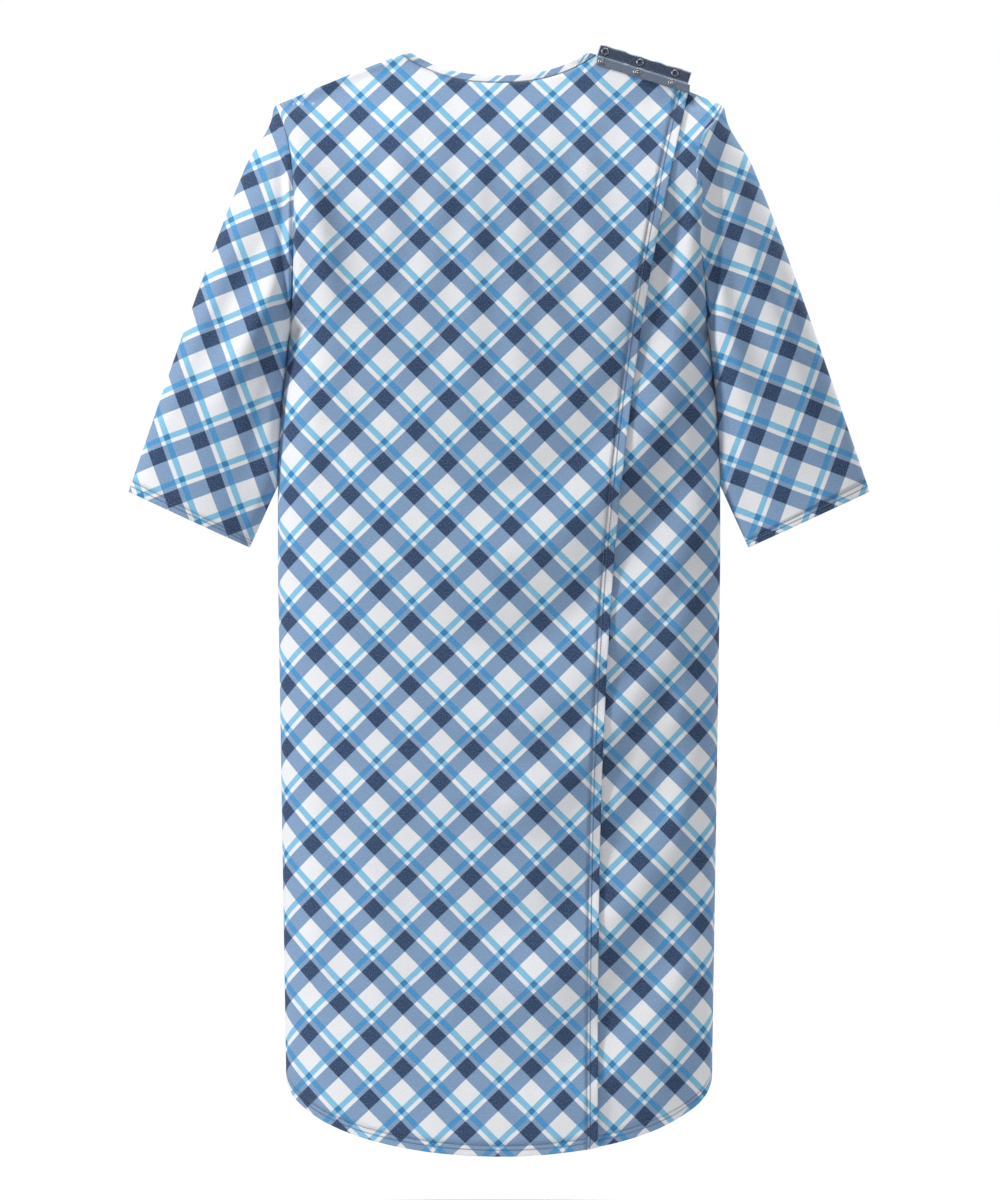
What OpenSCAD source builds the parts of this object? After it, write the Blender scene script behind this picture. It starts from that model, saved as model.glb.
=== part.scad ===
// Patient gown, open at the back, hung by its shoulders. Millimetres, +Z up, the back faces -Y.
// The origin is the hanging point: midway between the two neck ends of the shoulders.

/* [Body] */
// Length from the neck end of the shoulder to the lowest point of the hem
gown_len = 1200; // [1000:10:1450]
// Flat width across the chest and skirt
body_w = 484; // [400:2:600]
// Depth of the hanging body from back to front
body_depth = 104; // [70:2:160]
// Width lost at the underarms against the body width
underarm_less = 26; // [0:2:60]
// Width lost at the hem against the body width
hem_less = 18; // [0:2:60]
// Fall of the shoulder seam from the neck to the sleeve
shoulder_drop = 57; // [30:1:90]
// Height of the armhole
armhole_h = 243; // [200:1:300]
// Depth of the armhole from back to front
armhole_depth = 84; // [50:2:120]
// Rise of the curved hem from its lowest point to the side seams
hem_rise = 82; // [40:1:140]

/* [Neck] */
// Width of the neck opening
neck_w = 196; // [160:2:240]
// Fall of the neckline at the back
neck_back = 26; // [15:1:60]
// Fall of the neckline at the front
neck_front = 95; // [60:1:140]
// Width of the neck binding
bind_w = 8; // [6:0.5:12]

/* [Sleeves] */
// Length of the sleeve along its upper fold
sleeve_len = 452; // [300:2:560]
// Angle of the upper fold from straight down
sleeve_tilt = 20.8; // [15:0.2:35]
// Flat width of the cuff
cuff_w = 146; // [120:2:180]
// Angle of the cuff edge from level
cuff_tilt = 24.6; // [15:0.2:35]
// Depth of the cuff opening
cuff_depth = 40; // [24:2:60]

/* [Flaps] */
// Distance of the outer flap's free edge from the middle, at the shoulder
edge_top = 209; // [180:1:220]
// Distance of the outer flap's free edge from the middle, at the hem
edge_low = 107; // [60:1:150]
// Distance of the under flap's free edge from the middle
under_edge = 14; // [8:1:40]
// Distance of the fold lines from the middle, at the hem
fold_low = 190; // [160:1:205]
// Free height between the outer flap and the cloth under it
layer_gap = 2.6; // [2:0.1:3.2]

/* [Cloth] */
// Thickness of one layer of cloth
cloth_t = 2; // [1:0.1:2.4]
// Thickness of a turned hem
hem_t = 3; // [2:0.1:3.2]
// Height of the turned hems and edges
hem_h = 12.5; // [8:0.5:20]
// Width of the seam allowances
seam_w = 8; // [5:0.5:12]

/* [Snaps] */
// Height of the shoulder lap
lap_h = 13; // [11:0.5:18]
// Height of the snap tapes
tape_h = 9; // [8:0.5:12]
// Thickness of the snap tapes
tape_t = 1; // [0.6:0.1:1.4]
// Distance between the snaps
snap_pitch = 40; // [30:1:44]
// Diameter of a snap
snap_d = 8.4; // [6:0.2:9]
// Diameter of the post of a snap stud
post_d = 3.2; // [2:0.1:4]
// Clearance round the post in its socket
post_clear = 0.8; // [0.4:0.1:1.2]

/* [Hidden] */
hg = 0.55;                 // half the slit left between front and back at a seam
cut = 0.1;                 // gap between pieces sewn edge to edge
free = 1;                  // gap between a fixed piece and a swinging one
depth = body_depth / 2;
wu = (body_w - underarm_less) / 2;
wc = body_w / 2;
wh = (body_w - hem_less) / 2;
ws = body_w / 2 + 2;
nw = neck_w / 2;
z_tip = -shoulder_drop;
z_under = z_tip - armhole_h;
z_side = -(gown_len - hem_rise);
z_mid = z_under - 260;
arm_z = (z_tip + z_under) / 2;
arm_h = armhole_h / 2;
arm_d = armhole_depth / 2;
press = 12;                // flat part of the cloth below the shoulder line
round_h = 150;             // height over which the body reaches its full depth
lay = cloth_t + layer_gap; // the outer back lies this much further out
turn = [for (i = [0:24]) i * 15];

function mix(a, b, f) = a + (b - a) * f;
function held(f) = max(0, min(1, f));
function ease(f) = held(f) * held(f) * (3 - 2 * held(f));
function half_w(z) = lookup(z, [[z_side, wh], [z_mid, wc], [z_under, wu], [z_tip, ws]]);
function shoulder_z(x) = abs(x) < nw ? 0 : -shoulder_drop * pow((abs(x) - nw) / (ws - nw), 1.1);
function hem_z(x) = z_side - hem_rise * sqrt(1 - pow(min(1, abs(x) / wh), 2));
function arm_open(z) = arm_d * sqrt(max(0, 1 - pow((z - arm_z) / arm_h, 2)));
function arm_swell(z) = z > arm_z ? arm_open(z) : arm_d * ease((z - z_under + 220) / (arm_z - z_under + 220));

// a point of the body: x across, z up, o outward from the face of the cloth, yo extra depth, s side
function skin(x, z, o, yo, s) =
    let (c = max(-1, min(1, x / half_w(z))),
         n = sqrt(1 - c * c),
         g = sin(90 * held((shoulder_z(x) - z - press) / round_h)),
         near = 1 - ease((n - 0.25) / 0.4),
         a = mix(arm_swell(z), arm_open(z), near) * (1 - ease((n - 0.2) / 0.8)))
    [(half_w(z) + o) * c, s * (hg + (cloth_t + o) * n + g * depth * n
        + a + o * min(1, arm_open(z) / 8) * (1 - n) + yo), z];

// neckline curves: j = 0 the edge, j = 1 the lower side of the binding
function neck_x(w, j) = w * (nw + j * bind_w);
function neck_z(w, j, drop) =
    mix(-(drop + j * bind_w), shoulder_z(nw + j * bind_w), pow(abs(w), 2.4));

// straight top edge of the outer flap over the right shoulder, and the fold of the lap above it
lap_x0 = nw + bind_w;
lap_slope = 0.8 * (shoulder_z(lap_x0) - shoulder_z(edge_top)) / (edge_top - lap_x0);
function flap_top(x) = shoulder_z(lap_x0) - 1 - lap_slope * (x - lap_x0);
function lap_z(x) = flap_top(x) + 2;

// closed sheet between two grids of points
module sheet_of(a, b, flip = false) {
    nr = len(a);
    nc = len(a[0]);
    m = nr * nc;
    q = function(p, r, s, t) [[p, r, s], [p, s, t]];
    f = concat(
        [for (i = [nr - 2:-1:0], j = [0:nc - 2])
            each q(i * nc + j, i * nc + j + 1, (i + 1) * nc + j + 1, (i + 1) * nc + j)],
        [for (i = [0:nr - 2], j = [0:nc - 2])
            each q(m + i * nc + j, m + (i + 1) * nc + j, m + (i + 1) * nc + j + 1, m + i * nc + j + 1)],
        [for (j = [0:nc - 2]) each q(j, m + j, m + j + 1, j + 1)],
        [for (j = [0:nc - 2], k = (nr - 1) * nc) each q(k + j, k + j + 1, m + k + j + 1, m + k + j)],
        [for (i = [0:nr - 2], k = i * nc) each q(k, k + nc, m + k + nc, m + k)],
        [for (i = [0:nr - 2], k = i * nc + nc - 1) each q(k, m + k, m + k + nc, k + nc)]);
    polyhedron([each for (r = a) r, each for (r = b) r],
        flip ? [for (t = f) [t[0], t[2], t[1]]] : f, convexity = 8);
}

// closed tube between two grids of points, each row a loop whose last point repeats the first
module tube_of(a, b, flip = false) {
    nr = len(a);
    nc = len(a[0]) - 1;
    m = nr * nc;
    q = function(p, r, s, t) [[p, r, s], [p, s, t]];
    w = function(j) j % nc;
    f = concat(
        [for (i = [0:nr - 2], j = [0:nc - 1])
            each q(i * nc + j, i * nc + w(j + 1), (i + 1) * nc + w(j + 1), (i + 1) * nc + j)],
        [for (i = [0:nr - 2], j = [0:nc - 1])
            each q(m + i * nc + j, m + (i + 1) * nc + j, m + (i + 1) * nc + w(j + 1), m + i * nc + w(j + 1))],
        [for (j = [0:nc - 1]) each q(j, m + j, m + w(j + 1), w(j + 1))],
        [for (j = [0:nc - 1], k = (nr - 1) * nc) each q(k + j, k + w(j + 1), m + k + w(j + 1), m + k + j)]);
    polyhedron([for (r = a, j = [0:nc - 1]) r[j], for (r = b, j = [0:nc - 1]) r[j]],
        flip ? [for (t = f) [t[0], t[2], t[1]]] : f, convexity = 8);
}

function grid(rows, cols, f) = [for (v = rows) [for (u = cols) f(u, v)]];
function steps(n) = [for (i = [0:n]) i / n];

// height of a row of a panel: v from 0 at its top to 1 at the underarm to 2 at its bottom
rows_body = concat([for (i = [0:20]) 0.5 - 0.5 * cos(9 * i)], [for (i = [1:9]) 1 + i / 9]);
function row_z(top, bottom, v) = v <= 1 ? mix(top, z_under, v) : mix(z_under, bottom, v - 1);
function panel_top(x, drop) = abs(x) < nw + bind_w ? neck_z(x / (nw + bind_w), 1, drop) - cut
    : shoulder_z(x);
function hem_top(x) = hem_z(x) + hem_h;
function join(o, v) = v > 0 ? o : max(o, -cloth_t); // a thicker piece starts as thick as its panel

// columns of a full panel, closer together at the sides, with the neck corners on a column
side_cols = [1, 0.994, 0.97, 0.92, 0.84, 0.74, 0.62, 0.52];
neck_cols = [1, 0.93, 0.8, 0.62, 0.4, 0.2, 0.015];
full_cols = concat([for (c = side_cols) -c], [for (w = neck_cols) -w * (nw + bind_w) / ws],
    [for (i = [5:-1:0]) neck_cols[i] * (nw + bind_w) / ws], [for (i = [7:-1:0]) side_cols[i]]);

module front_panel() {
    f = function(o) grid(rows_body, full_cols, function(c, v)
        let (z = row_z(panel_top(c * ws, neck_front), hem_top(c * wh) + cut, v))
        skin(c * half_w(z), z, o, 0, 1));
    color("#8fb2d6") sheet_of(f(0), f(-cloth_t), true);
}

module front_hem() {
    f = function(o) grid([0, 1], full_cols, function(c, v)
        let (z = mix(hem_top(c * wh), hem_z(c * wh), v))
        skin(c * half_w(z), z, join(o, v), 0, 1));
    color("#7ea3ca") sheet_of(f(0), f(-hem_t), true);
}

// fold lines of the back: f from 0 at the neck to 1 at the hem
fold_top = nw + bind_w;
z_fold0 = shoulder_z(fold_top);
z_fold1 = hem_top(fold_low);
function fold_x(z) = mix(fold_top, fold_low, held((z - z_fold0) / (z_fold1 - z_fold0)));
side_u = [0, 0.05, 0.15, 0.32, 0.55, 0.78, 1];

// fixed side of the back, s = -1 left, 1 right; the left one rises to the outer layer at its fold
module back_side(s, rise) {
    f = function(o) grid(rows_body, side_u, function(u, v)
        let (top = shoulder_z(mix(ws, fold_top + free, u)),
             low = hem_top(mix(wh, fold_low + free, u)) + cut,
             z = row_z(top, low, v))
        skin(s * mix(half_w(z), fold_x(z) + free, u), z, o,
            rise * ease(u) * ease((top - z) / 60), -1));
    sheet_of(f(0), f(-cloth_t), s > 0);
}

module side_hem(s, rise) {
    f = function(o) grid([0, 1], side_u, function(u, v)
        let (x = mix(wh, fold_low + free, u),
             z = mix(hem_top(x), hem_z(x), v))
        skin(s * mix(half_w(z), fold_x(z) + free, u), z, join(o, v), rise * ease(u), -1));
    sheet_of(f(0), f(-hem_t), s > 0);
}

module left_back_side() color("#8fb2d6") back_side(-1, lay);
module right_back_side() color("#8fb2d6") back_side(1, 0);
module left_side_hem() color("#7ea3ca") side_hem(-1, lay);
module right_side_hem() color("#7ea3ca") side_hem(1, 0);

// outer flap: u from the fold on the left to its free edge, v from top to hem
top_v = (tape_h + 1.5) / gown_len;
rows_flap = concat([0], [for (i = [0:10]) mix(top_v, 0.15, i / 10)], [for (i = [1:12]) mix(0.15, 1, i / 12)]);
function flap_fold(v) = fold_x(mix(z_fold0 - cut, hem_top(fold_low) + cut, v));
function edge_x(v) = edge_low + (edge_top - edge_low) * pow(1 - v, 2.9);
function flap_x(u, v, cutoff) = mix(-flap_fold(v), edge_x(v) - cutoff, u);
function outer_top(x) = x < fold_top ? neck_z(max(-1, x / fold_top), 1, neck_back) - cut : flap_top(x);
u_corner = 2 * fold_top / (edge_top - hem_h - cut + fold_top);
outer_u = concat([for (i = [0:10]) u_corner * (0.5 - 0.5 * cos(18 * i))],
    [for (i = [1:4]) mix(u_corner, 1, i / 4)]);

module outer_back_flap() {
    f = function(o) grid(rows_flap, outer_u, function(u, v)
        let (xt = flap_x(u, 0, hem_h + cut),
             xb = flap_x(u, 1, hem_h + cut))
        skin(flap_x(u, v, hem_h + cut), mix(outer_top(xt), hem_top(xb) + cut, v), o, lay, -1));
    color("#9fbfe0") sheet_of(f(0), f(-cloth_t));
}

module outer_flap_hem() {
    f = function(o) grid([0, 1], outer_u, function(u, v)
        let (x = flap_x(u, 1, hem_h + cut))
        skin(x, mix(hem_top(x), hem_z(x), v), join(o, v), lay, -1));
    color("#7ea3ca") sheet_of(f(0), f(-hem_t));
}

module outer_edge_facing() {
    f = function(o) grid(rows_flap, [0, 1], function(u, v)
        let (xt = edge_x(0) - hem_h * (1 - u),
             xb = edge_x(1) - hem_h * (1 - u))
        skin(edge_x(v) - hem_h * (1 - u), mix(flap_top(xt), hem_z(xb), v), join(o, u), lay, -1));
    color("#7ea3ca") sheet_of(f(0), f(-hem_t));
}

// under flap: u from the fold on the right to its free edge near the middle
module under_back_flap() {
    f = function(o) grid(rows_flap, steps(6), function(u, v)
        let (xe = under_edge + hem_h + cut,
             xt = mix(fold_top, xe, u),
             xb = mix(fold_low, xe, u))
        skin(mix(flap_fold(v), xe, u), mix(neck_z(xt / fold_top, 1, neck_back) - cut, hem_top(xb) + cut, v),
            o, 0, -1));
    color("#86aad0") sheet_of(f(0), f(-cloth_t), true);
}

module under_flap_hem() {
    f = function(o) grid([0, 1], steps(6), function(u, v)
        let (x = mix(flap_fold(1), under_edge + hem_h + cut, u))
        skin(x, mix(hem_top(x), hem_z(x), v), join(o, v), 0, -1));
    color("#7ea3ca") sheet_of(f(0), f(-hem_t), true);
}

module under_edge_facing() {
    f = function(o) grid(rows_flap, [0, 1], function(u, v)
        let (x = under_edge + hem_h * (1 - u))
        skin(x, mix(neck_z(x / fold_top, 1, neck_back) - cut, hem_z(x), v), join(o, u), 0, -1));
    color("#7ea3ca") sheet_of(f(0), f(-hem_t), true);
}

// neck bindings through the stations of the panel below, as thick as the panel where they join it
bind_t = 0.6;
module binding(stations, drop, yo, s) {
    f = function(o) grid([0, 1], stations, function(w, v)
        skin(neck_x(w, v) * half_w(neck_z(w, v, drop)) / ws, neck_z(w, v, drop), v < 1 ? o : max(-cloth_t, min(0, o)),
            v < 1 ? yo + bind_t : yo, s));
    sheet_of(f(bind_t), f(-cloth_t - bind_t * 0.5), s > 0);
}

front_ws = concat([for (w = neck_cols) -w], [for (i = [5:-1:0]) neck_cols[i]]);
outer_ws = [for (i = [0:10]) -cos(18 * i)];
under_xe = under_edge + hem_h + cut;
under_ws = concat([under_edge, under_edge + hem_h],
    [for (i = [6:-1:0]) mix(fold_top, under_xe, i / 6)]) / fold_top;
module front_neck_binding() color("#dfe7ef") binding(front_ws, neck_front, 0, 1);
module outer_neck_binding() color("#dfe7ef") binding(outer_ws, neck_back, lay, -1);
module under_neck_binding() color("#dfe7ef") binding(under_ws, neck_back, 0, -1);

// sleeves, drawn on the right and mirrored for the left
rows_sleeve = [0, 0.03, 0.08, 0.16, 0.27, 0.4, 0.53, 0.66, 0.76, 0.84, 0.9, 0.95, 1];
hem_s = 1 - hem_h / sleeve_len;
tip_x = ws + free;
cuff_x = tip_x + sleeve_len * sin(sleeve_tilt);
cuff_z = z_tip - sleeve_len * cos(sleeve_tilt);
in_x = cuff_x - cuff_w * cos(cuff_tilt);
in_z = cuff_z - cuff_w * sin(cuff_tilt);
function fold_out(s) = [mix(tip_x, cuff_x, s) + 8 * sin(180 * pow(s, 0.6)), mix(z_tip, cuff_z, s)];
function fold_in(s) = let (z = mix(z_under, in_z, s))
    [max(half_w(z) + free, in_x - (z - in_z) * tan(cuff_tilt)), z];
function sleeve_at(a, s, o) =
    let (p = fold_out(s),
         q = fold_in(s),
         h = norm(p - q) / 2,
         k = (h + o) / h,
         m = (p + q) / 2 + (p - q) / 2 * k * sin(a))
    [m[0], (mix(arm_d, cuff_depth / 2, ease(s)) + hg + o) * cos(a), m[1]];

module sleeve_tube(s0, s1, t) {
    rows = s1 < 1 ? [for (r = rows_sleeve) r * s1] : [s0, 1];
    f = function(o) grid(rows, turn, function(a, s) sleeve_at(a, s, s > s0 || s0 == 0 ? o : max(o, -cloth_t)));
    tube_of(f(0), f(-t), true);
}

module right_sleeve() color("#8fb2d6") sleeve_tube(0, hem_s - cut / sleeve_len, cloth_t);
module left_sleeve() color("#8fb2d6") mirror([1, 0, 0]) sleeve_tube(0, hem_s - cut / sleeve_len, cloth_t);
module right_sleeve_hem() color("#7ea3ca") sleeve_tube(hem_s, 1, hem_t);
module left_sleeve_hem() color("#7ea3ca") mirror([1, 0, 0]) sleeve_tube(hem_s, 1, hem_t);

// seams, drawn on the right and mirrored for the left: thin allowances lying between the panels
seam_t = 0.9;
module fin(rows, edge) {
    f = function(y) [for (s = rows) [for (p = edge(s)) [p[0], y, p[1]]]];
    sheet_of(f(-seam_t / 2), f(seam_t / 2));
}

module underarm_seam() fin([for (s = rows_sleeve) 0.02 + s * (hem_s - 0.03)], function(s)
    let (p = fold_out(s),
         q = fold_in(s),
         d = (p - q) / norm(p - q))
    [q + d * (cloth_t + 0.2), q + d * (cloth_t + seam_w)]);

module side_seam() fin([for (i = [0:8]) mix(z_under - 3, z_side + hem_h, i / 8)], function(z)
    [[half_w(z) - seam_w, z], [half_w(z) - 0.2, z]]);

module shoulder_seam() fin([for (i = [0:6]) mix(nw + bind_w + 2, ws - 8, i / 6)], function(x)
    [[x, shoulder_z(x) - 0.3], [x, shoulder_z(x) - seam_w]]);

module armhole_seam() {
    ring_w = 6;
    ring_t = 1.4;
    slack = 0.5;
    f = function(o) grid([0, 1], turn, function(a, v)
        let (z = arm_z + (arm_h - 4.6 - o) * sin(a))
        [half_w(z) - slack - ring_w * v, (arm_d - cloth_t - slack - o) * cos(a), z]);
    tube_of(f(0), f(ring_t));
}

module right_underarm_seam() color("#c9d6e4") underarm_seam();
module left_underarm_seam() color("#c9d6e4") mirror([1, 0, 0]) underarm_seam();
module right_side_seam() color("#c9d6e4") side_seam();
module left_side_seam() color("#c9d6e4") mirror([1, 0, 0]) side_seam();
module right_shoulder_seam() color("#c9d6e4") shoulder_seam();
module left_shoulder_seam() color("#c9d6e4") mirror([1, 0, 0]) shoulder_seam();
module right_armhole_seam() color("#c9d6e4") armhole_seam();
module left_armhole_seam() color("#c9d6e4") mirror([1, 0, 0]) armhole_seam();

// shoulder lap and snaps on the right shoulder
lap_x1 = edge_top - 2;
lap_in = 0.3;              // where the lap's cloth begins behind the seam
skew = atan(lap_slope);
snap_drop = 6;             // distance of a snap from the fold of the lap
snap_mid = lap_x0 + 46.5;     // middle of the row of snaps

// strip parallel to the fold of the lap, h measured square to it
module strip(x0, x1, y0, y1, h0, h1)
    translate([lap_x0, 0, lap_z(lap_x0)]) rotate([0, skew, 0])
        translate([(x0 - lap_x0) / cos(skew), y0, h0])
            cube([(x1 - x0) / cos(skew), y1 - y0, h1 - h0]);

// puts its children at each snap, at depth y and height h over the fold
module at_snaps(y, h)
    for (i = [-1:1])
        translate([lap_x0, 0, lap_z(lap_x0)]) rotate([0, skew, 0])
            translate([(snap_mid + i * snap_pitch * cos(skew) - lap_x0) / cos(skew), y, h])
                rotate([90, 0, 0]) children();

module shoulder_lap() color("#8fb2d6") strip(lap_x0 + 1, lap_x1, lap_in, lap_in + cloth_t, 0, lap_h);
module lap_snap_tape() color("#34486b")
    strip(lap_x0 + 2, lap_x1 - 1, lap_in - 0.1 - tape_t, lap_in - 0.1, 0.5, 0.5 + tape_h + 2);

tape_y = hg + cloth_t + lay + 0.1;
module flap_snap_tape() {
    f = function(d) grid([0, 1], steps(6), function(u, v)
        let (x = mix(lap_x0 + 1, edge_top - 0.5, u))
        [x, -(tape_y + d), flap_top(x) - 0.4 - v * tape_h]);
    color("#8d96a3") sheet_of(f(tape_t), f(0));
}

ring_h = 0.7;
stud_h = 1.3;
module snap_studs() color("#b9bcc0") at_snaps(-(tape_y + tape_t + 0.05), -snap_drop) {
    cylinder(d = snap_d, h = 0.5, $fn = 32);
    cylinder(d = post_d, h = stud_h, $fn = 24);
}

module stud_rings() color("#b9bcc0") at_snaps(-(hg + lay - 0.05 - ring_h), -snap_drop)
    difference() {
        cylinder(d = snap_d, h = ring_h, $fn = 32);
        translate([0, 0, -1]) cylinder(d = snap_d * 0.6, h = ring_h + 2, $fn = 32);
    }

module snap_sockets() color("#c6c9cc") at_snaps(lap_in - 0.15 - tape_t, snap_drop)
    difference() {
        cylinder(d = snap_d, h = 1, $fn = 32);
        translate([0, 0, -1]) cylinder(d = post_d + 2 * post_clear, h = 3, $fn = 32);
    }

module socket_rings() color("#b9bcc0") at_snaps(lap_in + cloth_t + 0.05 + ring_h, snap_drop)
    difference() {
        cylinder(d = snap_d, h = ring_h, $fn = 32);
        translate([0, 0, -1]) cylinder(d = snap_d * 0.6, h = ring_h + 2, $fn = 32);
    }

front_panel();
left_back_side();
right_back_side();
front_hem();
left_side_hem();
right_side_hem();
front_neck_binding();
left_shoulder_seam();
right_shoulder_seam();
left_side_seam();
right_side_seam();
left_armhole_seam();
right_armhole_seam();
outer_back_flap();
outer_flap_hem();
outer_edge_facing();
outer_neck_binding();
flap_snap_tape();
snap_studs();
stud_rings();
under_back_flap();
under_flap_hem();
under_edge_facing();
under_neck_binding();
left_sleeve();
left_sleeve_hem();
left_underarm_seam();
right_sleeve();
right_sleeve_hem();
right_underarm_seam();
shoulder_lap();
lap_snap_tape();
snap_sockets();
socket_rings();
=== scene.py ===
import math
import bmesh
import bpy
import numpy as np
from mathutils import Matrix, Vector


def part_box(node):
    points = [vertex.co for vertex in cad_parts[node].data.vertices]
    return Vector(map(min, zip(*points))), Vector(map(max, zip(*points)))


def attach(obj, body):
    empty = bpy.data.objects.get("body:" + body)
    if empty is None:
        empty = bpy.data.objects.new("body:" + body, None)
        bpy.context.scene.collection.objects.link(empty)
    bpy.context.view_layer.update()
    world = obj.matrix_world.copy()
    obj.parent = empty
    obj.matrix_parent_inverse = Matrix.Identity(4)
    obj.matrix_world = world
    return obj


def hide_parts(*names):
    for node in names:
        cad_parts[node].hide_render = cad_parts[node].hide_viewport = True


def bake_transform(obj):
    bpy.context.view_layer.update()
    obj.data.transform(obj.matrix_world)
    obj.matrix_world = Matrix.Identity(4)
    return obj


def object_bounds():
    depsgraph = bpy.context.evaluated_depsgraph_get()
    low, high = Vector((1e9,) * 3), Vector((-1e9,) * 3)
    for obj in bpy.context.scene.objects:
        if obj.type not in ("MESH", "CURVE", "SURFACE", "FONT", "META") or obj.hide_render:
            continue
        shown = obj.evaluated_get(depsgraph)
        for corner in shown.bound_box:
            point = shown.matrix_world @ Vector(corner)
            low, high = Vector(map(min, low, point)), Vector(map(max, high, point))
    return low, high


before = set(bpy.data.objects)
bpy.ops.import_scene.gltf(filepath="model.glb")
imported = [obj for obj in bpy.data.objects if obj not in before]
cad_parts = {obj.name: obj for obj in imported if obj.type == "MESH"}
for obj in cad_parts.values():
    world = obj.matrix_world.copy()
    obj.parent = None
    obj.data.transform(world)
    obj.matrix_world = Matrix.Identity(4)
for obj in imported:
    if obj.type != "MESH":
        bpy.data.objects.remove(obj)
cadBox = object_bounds()
mm = 0.001
print("gown: frame loaded")

# shape of the whole gown, in millimetres; the length comes from the solid parts
gown = {
    "length": -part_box("front_hem")[0].z / mm,
    "halfChest": 242.0,
    "halfUnder": 229.0,
    "halfHem": 233.0,
    "shoulderDrop": 57.0,
    "armholeHeight": 243.0,
    "armholeDepth": 84.0,
    "bodyDepth": 104.0,
    "hemRise": 82.0,
    "halfNeck": 98.0,
    "neckBack": 26.0,
    "neckFront": 95.0,
    "binding": 8.0,
    "hem": 12.5,
    "edgeTop": 209.0,
    "edgeLow": 107.0,
    "underEdge": 14.0,
    "foldLow": 190.0,
    "layer": 4.6,          # how far the outer back lies over the cloth below it
    "cloth": 0.8,          # thickness of the knit that is seen
    "turned": 1.7,         # thickness of a turned and stitched edge
    "grid": 6.0,           # size of a mesh cell
}
tipZ = -gown["shoulderDrop"]
underZ = tipZ - gown["armholeHeight"]
midZ = underZ - 260
sideZ = -(gown["length"] - gown["hemRise"])
halfShoulder = gown["halfChest"] + 2
armZ = (tipZ + underZ) / 2
armH = gown["armholeHeight"] / 2
armD = gown["armholeDepth"] / 2
press = 12             # how far below the shoulder line the body starts to open
roundH = 150           # height over which it opens to its full depth
slit = 0.55            # half the gap left between front and back at the side seams
cadCloth = 2.0         # thickness of the cloth in the solids
foldTop = gown["halfNeck"] + gown["binding"]
hemH = gown["hem"]


def mix(a, b, f):
    return a + (b - a) * f


def ease(f):
    f = np.clip(f, 0, 1)
    return f * f * (3 - 2 * f)


# the side line drawn in under the sleeve and let out again below it, smoothed between its stations
stationZ = [sideZ, midZ, -450, -380, -320, -270, -210, -150, -110, -80, tipZ]
stationX = [gown["halfHem"], gown["halfChest"], 242, 238, 231, 225, 223, 223, 226, 234, halfShoulder]
outlineZ = np.linspace(sideZ, tipZ, 400)
outlineX = np.interp(outlineZ, stationZ, stationX)
for k in range(40):
    outlineX[1:-1] = (outlineX[:-2] + 2 * outlineX[1:-1] + outlineX[2:]) / 4


def halfWidth(z):
    return np.interp(z, outlineZ, outlineX)


def shoulderZ(x):
    reach = np.clip((np.abs(x) - gown["halfNeck"]) / (halfShoulder - gown["halfNeck"]), 0, 2)
    return -gown["shoulderDrop"] * reach ** 1.1


def hemZ(x):
    c = np.clip(np.abs(x) / gown["halfHem"], 0, 1)
    return sideZ - gown["hemRise"] * np.sqrt(1 - c * c)


def armOpen(z):
    return armD * np.sqrt(np.clip(1 - ((z - armZ) / armH) ** 2, 0, 1))


def armSwell(z):
    below = armD * ease((z - underZ + 220) / (armZ - underZ + 220))
    return np.where(z > armZ, armOpen(z), below)


# hanging wrinkles: a strip of the same knit is let go between two seams and settles under gravity
hang = {
    "width": 0.49,         # metres of cloth between the side seams
    "height": 1.16,
    "columns": 56,
    "rows": 128,
    "slack": 0.022,        # share by which the cloth is larger than the seams that hold it
    "frames": 42,
    "mostMm": 7.0,         # deepest fold kept
    "waves": 7,            # faint waves at the start, so that the slack has a way to go
    "waveHigh": 0.0012,
    "mass": 0.18,
    "stretch": 12,
    "shear": 6,
    "bend": 0.6,
    "air": 3,
    "creaseGain": 1.35,    # how much the drawn creases stand out against the settled folds
}


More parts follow.
